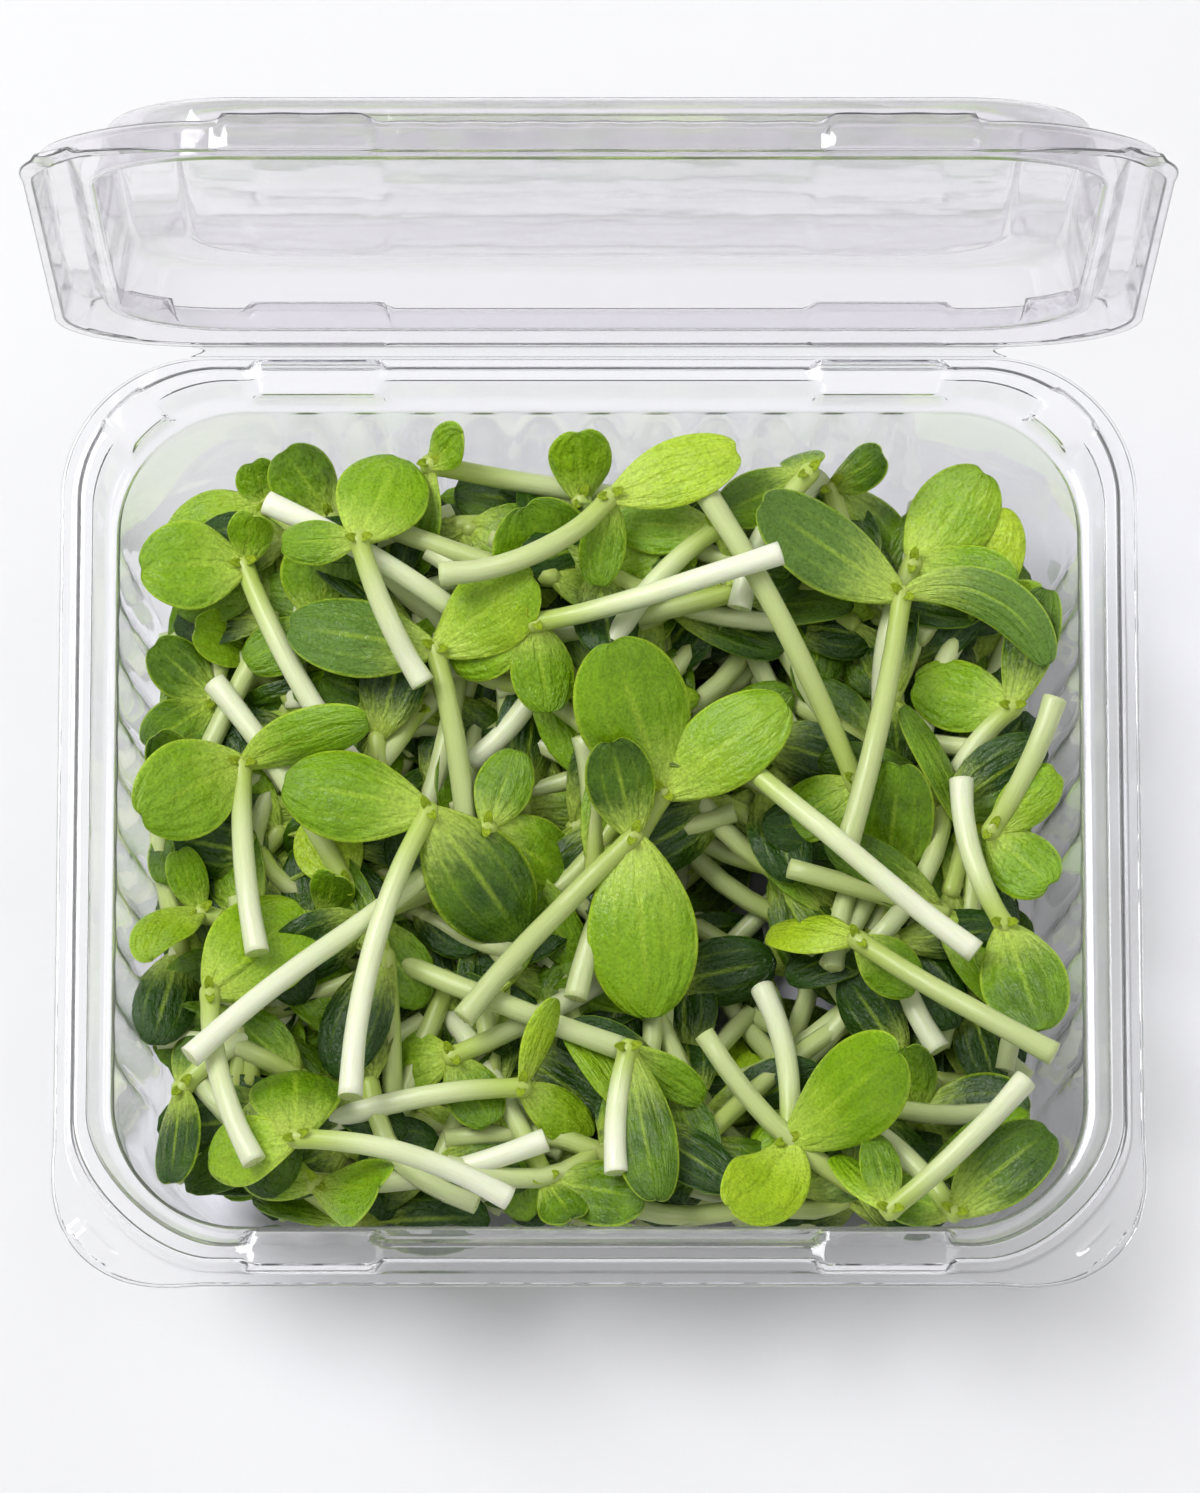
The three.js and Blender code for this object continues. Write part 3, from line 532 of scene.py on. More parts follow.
def shoot_part(shoot, leaf_tones, stem_tone, seed):
    """One whole shoot: two seed leaves, the tiny first pair of true leaves between them, and the stem,
    which swells a little towards its cut end and narrows below the leaves."""
    draw = np.random.default_rng(seed)
    crown = shoot["crown"]
    leaves = shoot["leaves"]
    count = len(leaves)
    character = np.column_stack([
        -leaves[:, 2] * draw.uniform(0.04, 0.16, count), draw.uniform(0.15, 0.55, count),
        draw.uniform(0, 2 * np.pi, count), draw.uniform(1.25, 1.6, count), draw.uniform(0.4, 0.9, count),
    ])
    rings, uv = blade_rings(
        np.repeat(crown[None], count, 0), leaves, shoot["lift"], shoot["droop"], character,
        LEAF_RING_COUNT, LEAF_AROUND,
    )
    blades = two_sided(tubes(rings, uv, np.array(leaf_tones)), count, LEAF_RING_COUNT, LEAF_AROUND)

    middle = np.mean(leaves[:, 0])
    bud = np.zeros((2, 8))
    bud[:, 0] = middle + np.array([60, 240])
    bud[:, 1], bud[:, 2] = BUD_LENGTH, BUD_WIDTH
    bud_character = np.tile([0.3, 0.0, 0.0, 0.9, 0.0], (2, 1))
    bud_rings, bud_uv = blade_rings(
        np.tile(crown + np.array([0, 0, BUD_ABOVE]), (2, 1)), bud,
        np.full(2, BUD_LIFT), np.full(2, BUD_DROOP),
        bud_character, BUD_RINGS, BUD_AROUND,
    )
    buds = two_sided(tubes(bud_rings, bud_uv, np.full(2, BUD_TONE)), 2, BUD_RINGS, BUD_AROUND)

    samples = np.linspace(0, 1, STEM_SAMPLES)
    stations = np.linspace(0, 1, STEM_STATIONS + 1)
    path = smooth_path(stations, shoot["path"][None], samples)
    wander = 0.12 * np.sin(samples * draw.uniform(9, 15) + draw.uniform(0, 6))
    path[..., 2] += wander * np.sin(np.pi * samples)
    swell = 0.96 + 0.1 * np.exp(-(samples / 0.12) ** 2) - 0.14 * samples ** 3
    swell += 0.1 * np.exp(-((samples - 1) / 0.05) ** 2)
    body, body_uv = stem_rings(path, (STEM_RADIUS * swell)[None], STEM_AROUND)
    stem = in_slot(tubes(body, body_uv, np.array([stem_tone])), STEM_SLOT)
    return joined([blades, buds, stem])


# ---------------------------------------------------------------- the greens below

def heap_relief(cell, edge):
    """Highest point of the frame's shoots over each square of the tray, and `edge` in the squares beside
    the walls that no shoot reaches. Returns the heights and the plan of the first square."""
    points = []
    for name, node in frame["nodes"].items():
        if name.startswith("shoot"):
            points.append(node_points(node).reshape(-1, 3, 3))
    corners = np.concatenate(points)
    shares = np.array([[a, b, 6 - a - b] for a in range(7) for b in range(7 - a)]) / 6
    spread = np.einsum("pk,tkc->tpc", shares, corners).reshape(-1, 3)
    low = BED_LOW[:2] - 12
    size = np.ceil((BED_HIGH[:2] + 12 - low) / cell).astype(int)
    index = np.clip(((spread[:, :2] - low) / cell).astype(int), 0, size - 1)
    relief = np.zeros(size)
    np.maximum.at(relief, (index[:, 0], index[:, 1]), spread[:, 2])
    return np.where(relief > 0, relief, edge), low


def wall_inset(height):
    """Inset of the tray's inner wall at a height, which falls in line with it from the foot to the flange."""
    return WALL_FOOT - (WALL_FOOT - WALL_TOP) * (height - FOOT_Z) / (FLANGE_Z - FOOT_Z)


def under_layer(wanted, beside_wall, seed):
    """The greens that lie below the modelled shoots: whole small shoots with fewer faces, at seeded
    places under the heap's surface. A drawn shoot is left out where its crown, its cut end or a leaf's
    middle or tip would cross the tray's wall or come up through the heap. With beside_wall, only shoots
    that reach near the wall are kept, at any depth, and otherwise only those not far below the surface."""
    draw = np.random.default_rng(seed)
    relief, low = heap_relief(HEAP_CELL, HEAP_EDGE)
    trial = wanted * TRIES_PER_SHOOT
    crown = draw.uniform(BED_LOW[:2] - 5, BED_HIGH[:2] + 5, (trial, 2))
    height = draw.uniform(10, 50, trial)
    heading = draw.uniform(0, 360, trial)
    leaves = np.zeros((trial, 2, 8))
    leaves[:, 0, 0] = heading
    leaves[:, 1, 0] = heading + draw.uniform(90, 200, trial)
    leaves[..., 1] = draw.uniform(15, 24, (trial, 2))
    leaves[..., 2] = draw.uniform(9, 14, (trial, 2))
    leaves[..., 6] = draw.uniform(-35, 35, (trial, 2))
    leaves[..., 7] = draw.uniform(0, 20, (trial, 2))
    lift = draw.uniform(-15, 25, (trial, 2))
    droop = draw.uniform(0, 35, (trial, 2))
    backward = np.radians(heading + draw.uniform(130, 230, trial))
    reach = draw.uniform(22, 40, trial)
    foot = crown + reach[:, None] * np.column_stack([np.cos(backward), np.sin(backward)])
    foot_height = np.clip(height - draw.uniform(-6, 12, trial), 4, None)

    heads = np.radians(leaves[..., 0])
    outward = np.stack([np.cos(heads), np.sin(heads)], -1)
    pitch = np.radians(lift - droop / 2)
    plans, levels = [crown[:, None], foot[:, None]], [height[:, None], foot_height[:, None]]
    for share in (0.5, 1.0):
        plans.append(crown[:, None] + share * (leaves[..., 1] * np.cos(pitch))[..., None] * outward)
        levels.append(height[:, None] + share * leaves[..., 1] * np.sin(pitch))
    plan, level = np.concatenate(plans, 1), np.concatenate(levels, 1)
    index = np.clip(((plan - low) / HEAP_CELL).astype(int), 0, np.array(relief.shape) - 1)
    depth = relief[index[..., 0], index[..., 1]] - level
    side = wall_inset(level - 4)[..., None]
    room = np.concatenate([WIDTH / 2 - side, DEPTH / 2 - side], -1) - WALL_CLEARANCE
    past = np.linalg.norm(np.maximum(np.abs(plan) - (room - CORNER_ROOM), 0), axis=-1)
    inside = (np.abs(plan) < room).all(-1) & (past < CORNER_ROOM) & (level > LOWEST_POINT)
    fits = inside.all(1) & (depth > BURIED).all(1)
    if beside_wall:
        fits &= (np.abs(plan) > room - WALL_REACH).any((1, 2)) & (level[:, 2:] > LOWEST_LEAF).all(1)
    else:
        fits &= depth.min(1) < DEEPEST
    chosen = np.flatnonzero(fits)[:wanted]
    if len(chosen) < wanted:
        raise RuntimeError(f"only {len(chosen)} places for the lower greens; lower their number")

    places = np.column_stack([crown, height])[chosen]
    leaf_rows = leaves[chosen].reshape(-1, 8)
    count = len(leaf_rows)
    character = np.column_stack([
        draw.uniform(-2, 0.3, count), draw.uniform(0.1, 0.6, count),
        draw.uniform(0, 2 * np.pi, count), np.full(count, LEAF_THICK), np.zeros(count),
    ])
    # Painted shade: the lower greens draw mostly the darkest tones, so that the leaves under the top ones are
    # coloured darker where shade falls in the heap.
    tone = np.clip(draw.normal(0.13, 0.2, count), 0, 0.8)
    rings, uv = blade_rings(
        np.repeat(places, 2, 0), leaf_rows, lift[chosen].ravel(), droop[chosen].ravel(), character,
        LOWER_RINGS, LOWER_AROUND,
    )
    blades = two_sided(tubes(rings, uv, tone), count, LOWER_RINGS, LOWER_AROUND)

    samples = np.linspace(0, 1, LOWER_STEM_SAMPLES)
    start = np.column_stack([foot[chosen], foot_height[chosen]])
    bend = draw.uniform(-4, 4, (len(chosen), 2))
    path = start[:, None] + (places - start)[:, None] * samples[None, :, None]
    path[..., :2] += bend[:, None] * np.sin(np.pi * samples)[None, :, None]
    radius = np.full((len(chosen), LOWER_STEM_SAMPLES), LOWER_STEM_RADIUS)
    body, body_uv = stem_rings(path, radius, LOWER_STEM_AROUND)
    stems = in_slot(tubes(body, body_uv, draw.uniform(0.65, 1.0, len(chosen))), STEM_SLOT)
    return joined([blades, stems])


# ---------------------------------------------------------------- the clear sheet

def outline_columns(side, end, corner):
    """Columns round a rounded rectangle, anticlockwise from the right-hand side: the signed shares a and b
    of the way to the corners' centres, and the direction that the outline faces."""
    flat_side = np.linspace(-1, 1, side, endpoint=False)
    flat_end = np.linspace(-1, 1, end, endpoint=False)
    turn = np.linspace(0, np.pi / 2, corner, endpoint=False)
    bend = np.ones(corner)
    a = np.concatenate([np.ones(side), bend, -flat_end, -bend, -np.ones(side), -bend, flat_end, bend])
    b = np.concatenate([flat_side, bend, np.ones(end), bend, -flat_side, -bend, -np.ones(end), -bend])
    facing = np.concatenate([
        np.zeros(side), turn, np.full(end, np.pi / 2), np.pi / 2 + turn,
        np.full(side, np.pi), np.pi + turn, np.full(end, 1.5 * np.pi), 1.5 * np.pi + turn,
    ])
    return a, b, facing


def rounded_profile(corners):
    """A profile of insets and heights whose corners are rounded: each inner corner becomes a quadratic
    curve that starts and ends at most 0.8 mm from it, and never past 0.45 of the way to the next corner."""
    corners = np.array(corners, float)
    before, here, after = corners[:-2], corners[1:-1], corners[2:]
    back, on = before - here, after - here
    back_length = np.linalg.norm(back, axis=1, keepdims=True)
    on_length = np.linalg.norm(on, axis=1, keepdims=True)
    start = here + back / back_length * np.minimum(PROFILE_ROUNDING, 0.45 * back_length)
    end = here + on / on_length * np.minimum(PROFILE_ROUNDING, 0.45 * on_length)
    t = np.linspace(0, 1, ROUNDING_STEPS)[None, :, None]
    curve = (1 - t) ** 2 * start[:, None] + 2 * t * (1 - t) * here[:, None] + t ** 2 * end[:, None]
    return np.concatenate([corners[:1], curve.reshape(-1, 2), corners[-1:]])


def filled_profile(profile):
    """A profile with extra points, so that no step along it is longer than 4.5 mm."""
    steps = np.linalg.norm(np.diff(profile, axis=0), axis=1)
    pieces = [
        start + (end - start) * np.linspace(0, 1, int(np.ceil(step / LONGEST_STEP)) + 1)[:-1, None]
        for start, end, step in zip(profile[:-1], profile[1:], steps)
    ]
    return np.concatenate(pieces + [profile[-1:]])


def soft_step(low, high, value):
    """0 below low, 1 above high, and 3t squared less 2t cubed between them."""
    t = np.clip((value - low) / (high - low), 0, 1)
    return t * t * (3 - 2 * t)


def pressed_sheet(profile, sizes, fluted, bead_top, spare=0.0, block_root=(1.9, 2.6), one_end=False):
    """Rings of a sheet pressed into a rounded rectangle. Each point lies at its column's corner centre
    plus the corner radius along its facing, where the radius is 25 mm less 0.35 of the inset.
    The wall between the two heights in `fluted` goes in and out as a cosine of the place along the
    straight sides, or along the front alone with one_end, which also takes the lid's own flute depth.
    At the front corners the flange goes out and the bead in by a power of the sine of twice the facing,
    which leaves a wide tab, and on it a rounded rectangle is raised. The bead has a flat raised block at
    two places front and back, and a shorter one on each back corner. Every raised place is wider by
    `spare` on each side, so that the lid's go over the tray's, and between the two insets in block_root
    the blocks' outer wall begins to stand out."""
    a, b, facing = outline_columns(SIDE_COLUMNS, END_COLUMNS, CORNER_COLUMNS)
    inset, height = profile[:, :1], profile[:, 1:]
    radius = CORNER - CORNER_LOSS * inset
    tab = np.abs(np.sin(2 * facing)) ** 1.5 * (facing > np.pi)
    tab_insets, tab_shifts = [0.3, 2.2, 6.2, 8.1, 10.2, 12], [3.2, -1.6, -1.4, -1.0, -0.15, 0]
    radius = radius + tab * np.interp(inset, tab_insets, tab_shifts)
    out = np.stack([np.cos(facing), np.sin(facing)], -1)
    middle = CORNER - CORNER_LOSS * inset
    x = a * (WIDTH / 2 - inset - middle) + radius * out[:, 0]
    y = b * (DEPTH / 2 - inset - middle) + radius * out[:, 1]
    z = np.broadcast_to(height, x.shape).copy()

    on_end = np.abs(out[:, 1]) > 0.999
    on_side = np.abs(out[:, 0]) > 0.999
    place = np.where(on_end, x, y)
    share = np.where(on_end, np.abs(a), np.abs(b))
    ribbed = on_end & (out[:, 1] < 0) if one_end else on_end | on_side
    straight = np.where(ribbed, soft_step(0, FLUTE_FADE, 1 - share), 0)
    low, high = fluted
    band = soft_step(low, low + 4, z) * (1 - soft_step(high - 3, high, z))
    depth = (sizes.lid_flute_depth if one_end else sizes.flute_depth) / MM
    flute = depth * np.cos(2 * np.pi * place / (sizes.flute_pitch / MM)) * straight * band
    x += flute * out[:, 0]
    y += flute * out[:, 1]

    beyond_x = np.abs(x) - (WIDTH / 2 - CORNER)
    beyond_y = np.abs(y) - (DEPTH / 2 - CORNER)
    along_tab = np.abs(beyond_x - beyond_y) / np.sqrt(2)
    out_tab = np.abs((beyond_x + beyond_y) / np.sqrt(2) - CORNER - 0.4)
    front = (y < 0) & (inset < 2.3)
    z += 0.8 * front * (1 - soft_step(-0.4, 0.4, np.maximum(out_tab - 1.9, along_tab - 3.9) - spare))

    block = soft_step(0, BLOCK_SLOPE, BLOCK_HALF + spare - np.abs(np.abs(x) - SNAP_AT)) * on_end
    corner_block = (1 - soft_step(4.2, 5.4, along_tab - spare)) * ((tab == 0) & ~on_end & ~on_side)
    flat = soft_step(2.2, 3.0, inset + spare) * (1 - soft_step(8.5, 9.3, inset))
    z += np.maximum(block, corner_block) * flat * np.maximum(bead_top + BLOCK_RISE - z, 0)
    y += BLOCK_OUT * block * soft_step(*block_root, inset) * (1 - soft_step(3.6, 5, inset)) * out[:, 1]
    return np.stack([x, y, z], -1)


def sheet_part(rings, face_up):
    """One open sheet from rings, the last of which closes on a pole in the middle."""
    rows, around = rings.shape[:2]
    quads = ring_quads(rows, around)
    here = (rows - 1) * around + np.arange(around)
    triangles = np.stack([here, np.roll(here, -1), np.full(around, rows * around)], -1)
    points = np.concatenate([rings.reshape(-1, 3), rings[-1].mean(0, keepdims=True)])
    if not face_up:
        quads, triangles = quads[:, ::-1], triangles[:, ::-1]
    return plain_part(points, quads, triangles)


def closing_rings(last, shares):
    """More rings inside the last one, each its plan times a share, at the same height."""
    scale = np.ones((len(shares), 1, 3))
    scale[:, 0, 0] = scale[:, 0, 1] = shares
    return last[None] * scale


def turned_open(points):
    """Points of the shut lid, turned up about the hinge by its open angle."""
    away = points - HINGE_AT
    c, s = np.cos(-LID_OPEN), np.sin(-LID_OPEN)
    y = away[..., 1] * c - away[..., 2] * s
    z = away[..., 1] * s + away[..., 2] * c
    return np.stack([away[..., 0], y, z], -1) + HINGE_AT


def thicken(piece, thickness):
    """Gives a sheet its thickness on the side that it faces away from."""
    solid = piece.modifiers.new("Thickness", "SOLIDIFY")
    solid.thickness = thickness
    solid.offset = -1
    solid.use_even_offset = True
    solid.use_rim = True
    return piece


# ---------------------------------------------------------------- materials

def colour(red, green, blue):
    """A display colour, each value from 0 to 255, as the linear values that Blender's sockets hold."""
    share = np.array([red, green, blue]) / 255
    linear = np.where(share <= 0.04045, share / 12.92, ((share + 0.055) / 1.055) ** 2.4)
    return tuple(float(value) for value in linear)


# The dark green is partly a leaf's own dark green and partly painted shade: it is kept near black so that
# leaves deep in the heap look shaded.
DARK_AND_SHADE_GREEN, MIDDLE_GREEN, LIGHT_GREEN = colour(38, 72, 5), colour(124, 166, 14), colour(178, 206, 42)
MARGIN_GREEN = colour(178, 208, 56)
FOOT_WHITE, CROWN_GREEN = colour(240, 243, 218), colour(178, 200, 92)


class NodeKit:
    """Short ways to add linked nodes to one node tree."""

    def __init__(self, tree):
        self.tree = tree

    def node(self, kind, **settings):
        """A new node with its settings."""
        made = self.tree.nodes.new(kind)
        for name, value in settings.items():
            setattr(made, name, value)
        return made

    def put(self, socket, value):
        """Links an output to a socket, or sets the socket's own value."""
        if isinstance(value, bpy.types.NodeSocket):
            self.tree.links.new(value, socket)
        elif hasattr(value, "__len__") and len(value) == 3 and socket.type == "RGBA":
            socket.default_value = (*value, 1)
        else:
            socket.default_value = value

    def maths(self, operation, first, second=0.0, third=0.0):
        """The result of one Math node."""
        made = self.node("ShaderNodeMath", operation=operation)
        for socket, value in zip(made.inputs, (first, second, third)):
            self.put(socket, value)
        return made.outputs[0]

    def step(self, value, low, high, start=0.0, end=1.0):
        """A smooth change from start to end as the value goes from low to high."""
        made = self.node("ShaderNodeMapRange", interpolation_type="SMOOTHSTEP")
        for socket, item in zip(made.inputs, (value, low, high, start, end)):
            self.put(socket, item)
        return made.outputs[0]

    def mix(self, share, first, second, blend="MIX"):
        """Two colours mixed by a share of the second."""
        made = self.node("ShaderNodeMix", data_type="RGBA", blend_type=blend, clamp_factor=True)
        self.put(made.inputs["Factor"], share)
        self.put(made.inputs[6], first)
        self.put(made.inputs[7], second)
        return made.outputs[2]

    def noise(self, scale, detail, vector):
        """Noise from 0 to 1 at a place."""
        made = self.node("ShaderNodeTexNoise")
        made.inputs["Scale"].default_value = scale
        made.inputs["Detail"].default_value = detail
        self.put(made.inputs["Vector"], vector)
        return made.outputs["Fac"]


def new_group(name, inputs, outputs):
    """A shader node group with named sockets, and its kit. A socket's kind follows its default value."""
    group = bpy.data.node_groups.new(name, "ShaderNodeTree")
    kinds = {float: "NodeSocketFloat", tuple: "NodeSocketColor"}
    for socket, default in inputs.items():
        made = group.interface.new_socket(name=socket, in_out="INPUT", socket_type=kinds[type(default)])
        made.default_value = (*default, 1) if isinstance(default, tuple) else default
    for socket, kind in outputs.items():
        group.interface.new_socket(name=socket, in_out="OUTPUT", socket_type=kind)
    kit = NodeKit(group)
    return group, kit, kit.node("NodeGroupInput"), kit.node("NodeGroupOutput")


def surface_place(kit):
    """Along and across from the UV map, the tone attribute, and Object coordinates."""
    uv = kit.node("ShaderNodeUVMap", uv_map="UVMap")
    split = kit.node("ShaderNodeSeparateXYZ")
    kit.put(split.inputs[0], uv.outputs[0])
    tone = kit.node("ShaderNodeAttribute", attribute_name="tone")
    place = kit.node("ShaderNodeTexCoord")
    return split.outputs[0], split.outputs[1], tone.outputs["Fac"], place.outputs["Object"]


def leaf_group():
    """Seed leaf skin: the tone picks from dark, middle and light greens, mottled by noise, and at its very
    top a greyer green that is a painted sheen. The margin, the midrib and the two side veins are paler, and
    so is the base, whose colour runs out along the leaf in streaks. A fine grain shades the whole, and the
    height is a crease that follows the leaf on a broader swell."""
    name = "Seed leaf skin"
    if name in bpy.data.node_groups:
        return bpy.data.node_groups[name]
    inputs = {
        "Dark": DARK_AND_SHADE_GREEN, "Middle": MIDDLE_GREEN, "Light": LIGHT_GREEN,
        "Painted sheen": colour(96, 132, 44), "Margin": MARGIN_GREEN, "Vein": colour(174, 204, 56),
        "Base": colour(196, 220, 92), "Vein strength": 0.5, "Margin strength": 0.6, "Base strength": 0.8,
        "Gloss": 0.15,
    }
    outputs = {"Color": "NodeSocketColor", "Roughness": "NodeSocketFloat", "Height": "NodeSocketFloat"}
    group, kit, given, result = new_group(name, inputs, outputs)
    along, across, tone, place = surface_place(kit)
    rim = kit.maths("ABSOLUTE", kit.maths("SUBTRACT", kit.maths("MULTIPLY", across, 2.0), 1.0))
    mottle = kit.noise(170.0, 3.0, place)
    blotch = kit.noise(60.0, 2.0, place)
    grain = kit.noise(1700.0, 2.0, place)
    shade = kit.maths("MULTIPLY_ADD", kit.maths("SUBTRACT", mottle, 0.5), 0.32, tone)
    shade = kit.maths("MULTIPLY_ADD", kit.maths("SUBTRACT", blotch, 0.5), 0.22, shade)
    green = kit.mix(kit.step(shade, 0.05, 0.5), given.outputs["Dark"], given.outputs["Middle"])
    green = kit.mix(kit.step(shade, 0.45, 0.85), green, given.outputs["Light"])
    # Painted sheen: near the top of the tone the leaf turns a greyer green that stands in for a sheen.
    green = kit.mix(kit.step(tone, 0.93, 0.99), green, given.outputs["Painted sheen"])
    wrinkle = kit.node("ShaderNodeCombineXYZ")
    kit.put(wrinkle.inputs[0], kit.maths("MULTIPLY", along, 9.0))
    kit.put(wrinkle.inputs[1], kit.maths("MULTIPLY", across, 15.0))
    kit.put(wrinkle.inputs[2], kit.maths("MULTIPLY", tone, 17.0))
    crease = kit.noise(1.6, 4.0, wrinkle.outputs[0])
    before_tip = kit.step(along, 0.55, 0.95, 1.0, 0.0)
    midrib = kit.maths("MULTIPLY", kit.step(rim, 0.01, 0.1, 0.8, 0.0), before_tip)
    aside = kit.maths("ABSOLUTE", kit.maths("SUBTRACT", rim, 0.5))
    beside = kit.maths("MULTIPLY", kit.step(aside, 0.0, 0.07, 0.3, 0.0), before_tip)
    vein = kit.maths("MULTIPLY", kit.maths("MAXIMUM", midrib, beside), given.outputs["Vein strength"])
    green = kit.mix(vein, green, given.outputs["Vein"])
    from_base = kit.maths("MULTIPLY_ADD", kit.maths("SUBTRACT", crease, 0.5), 0.4, along)
    base = kit.maths("MULTIPLY", kit.step(from_base, 0.0, 0.5, 1.0, 0.0), given.outputs["Base strength"])
    green = kit.mix(base, green, given.outputs["Base"])
    edge = kit.maths("MULTIPLY", kit.step(rim, 0.9, 0.985), given.outputs["Margin strength"])
    green = kit.mix(edge, green, given.outputs["Margin"])
    speckle = kit.step(grain, 0.3, 0.7, 0.86, 1.12)
    tint = kit.node("ShaderNodeCombineColor")
    for socket in tint.inputs:
        kit.put(socket, speckle)
    kit.put(result.inputs["Color"], kit.mix(1.0, green, tint.outputs[0], "MULTIPLY"))
    kit.put(result.inputs["Roughness"], kit.maths("MULTIPLY_ADD", grain, 0.3, given.outputs["Gloss"]))
    swell = kit.noise(0.45, 1.0, wrinkle.outputs[0])
    relief = kit.maths("MULTIPLY_ADD", swell, 1.4, kit.maths("MULTIPLY", crease, 0.6))
    kit.put(result.inputs["Height"], kit.maths("MULTIPLY_ADD", grain, 0.25, relief))
    return group


def stem_group():
    """Stem skin: from the cut end to the crown the colour goes through three stages, a higher tone turns it
    olive, and long streaks follow the stem. The cut end beyond the first ring has its own colour."""
    name = "Stem skin"
    if name in bpy.data.node_groups:
        return bpy.data.node_groups[name]
    inputs = {
        "Foot": FOOT_WHITE, "Middle": colour(226, 234, 188), "Crown": CROWN_GREEN,
        "Olive": colour(172, 190, 96), "Cut": colour(206, 216, 150),
    }
    outputs = {"Color": "NodeSocketColor", "Roughness": "NodeSocketFloat", "Height": "NodeSocketFloat"}
    group, kit, given, result = new_group(name, inputs, outputs)
    along, across, tone, _ = surface_place(kit)
    skin = kit.mix(kit.step(along, 0.1, 0.6), given.outputs["Foot"], given.outputs["Middle"])
    skin = kit.mix(kit.step(along, 0.55, 0.98), skin, given.outputs["Crown"])
    skin = kit.mix(kit.maths("MULTIPLY", tone, 0.8), skin, given.outputs["Olive"])
    grid = kit.node("ShaderNodeCombineXYZ")
    kit.put(grid.inputs[0], kit.maths("MULTIPLY", along, 5.0))
    kit.put(grid.inputs[1], kit.maths("MULTIPLY", across, 26.0))
    kit.put(grid.inputs[2], kit.maths("MULTIPLY", tone, 9.0))
    streak = kit.noise(1.0, 3.0, grid.outputs[0])
    skin = kit.mix(kit.step(streak, 0.45, 0.8, 0.0, 0.3), skin, given.outputs["Olive"])
    skin = kit.mix(kit.step(along, -0.015, 0.0, 1.0, 0.0), skin, given.outputs["Cut"])
    kit.put(result.inputs["Color"], skin)
    kit.put(result.inputs["Roughness"], kit.maths("MULTIPLY_ADD", streak, 0.2, 0.18))
    kit.put(result.inputs["Height"], streak)
    return group


def skin_material(name, group, values, bump, subsurface):
    """A leaf or stem finish: the group's colour, roughness and height on a Principled shader."""
    if name in bpy.data.materials:
        return bpy.data.materials[name]
    material = bpy.data.materials.new(name)
    material.use_nodes = True
    kit = NodeKit(material.node_tree)
    shader = material.node_tree.nodes["Principled BSDF"]
    skin = kit.node("ShaderNodeGroup", node_tree=group)
    for socket, value in values.items():
        kit.put(skin.inputs[socket], value)
    relief = kit.node("ShaderNodeBump")
    relief.inputs["Strength"].default_value = bump
    relief.inputs["Distance"].default_value = 0.0006
    kit.put(relief.inputs["Height"], skin.outputs["Height"])
    kit.put(shader.inputs["Base Color"], skin.outputs["Color"])
    kit.put(shader.inputs["Roughness"], skin.outputs["Roughness"])
    kit.put(shader.inputs["Normal"], relief.outputs[0])
    shader.inputs["Subsurface Weight"].default_value = subsurface
    shader.inputs["Subsurface Radius"].default_value = (0.6, 1.0, 0.25)
    shader.inputs["Subsurface Scale"].default_value = 0.0015
    shader.inputs["IOR"].default_value = 1.45
    return material


def shoot_materials():
    """Upper side of a leaf, under side, and stem, in the order that the faces' slots name them."""
    looks = bpy.context.scene.greens_looks
    upper = {
        "Dark": tuple(looks.leaf_dark), "Middle": tuple(looks.leaf_middle), "Light": tuple(looks.leaf_light),
        "Margin": tuple(looks.leaf_margin),
    }
    under = {
        "Dark": colour(92, 124, 26), "Middle": colour(134, 162, 46), "Light": colour(174, 196, 72),
        "Vein strength": 0.35, "Gloss": 0.48,
    }
    stem = {"Foot": tuple(looks.stem_foot), "Crown": tuple(looks.stem_crown)}
    return [
        skin_material("Leaf upper side", leaf_group(), upper, 1.0, 0.15),
        skin_material("Leaf under side", leaf_group(), under, 0.4, 0.2),
        skin_material("Stem skin", stem_group(), stem, 0.15, 0.3),
    ]


def clear_material(name, tint):
    """Clear pressed sheet: nearly full transmission with a faint haze and unevenness. Shadow rays pass
    straight through, so that the sheet throws the soft, light shade of a thin wall."""
    if name in bpy.data.materials:
        return bpy.data.materials[name]
    material = bpy.data.materials.new(name)
    material.use_nodes = True
    kit = NodeKit(material.node_tree)
    shader = material.node_tree.nodes["Principled BSDF"]
    output = material.node_tree.nodes["Material Output"]
    shader.inputs["Base Color"].default_value = (*tint, 1)
    shader.inputs["Transmission Weight"].default_value = 0.955
    shader.inputs["Roughness"].default_value = bpy.context.scene.greens_looks.sheet_roughness
    shader.inputs["IOR"].default_value = 1.5
    place = kit.node("ShaderNodeTexCoord")
    relief = kit.node("ShaderNodeBump")
    relief.inputs["Strength"].default_value = 0.12
    relief.inputs["Distance"].default_value = 0.001
    kit.put(relief.inputs["Height"], kit.noise(55.0, 2.0, place.outputs["Object"]))
    kit.put(shader.inputs["Normal"], relief.outputs[0])
    path = kit.node("ShaderNodeLightPath")
    clear = kit.node("ShaderNodeBsdfTransparent")
    clear.inputs[0].default_value = (0.93, 0.93, 0.95, 1)
    either = kit.node("ShaderNodeMixShader")
    kit.put(either.inputs[0], path.outputs["Is Shadow Ray"])
    kit.put(either.inputs[1], shader.outputs[0])
    kit.put(either.inputs[2], clear.outputs[0])
    kit.put(output.inputs["Surface"], either.outputs[0])
    return material


# ---------------------------------------------------------------- settings

def length(name, description, default):
    """A length, in metres."""
    return bpy.props.FloatProperty(name=name, description=description, default=default, unit="LENGTH")


def number_of(name, description, default):
    """A whole number."""
    return bpy.props.IntProperty(name=name, description=description, default=default)


def tint(name, description, default):
    """A colour."""
    return bpy.props.FloatVectorProperty(name=name, description=description, default=default, subtype="COLOR")


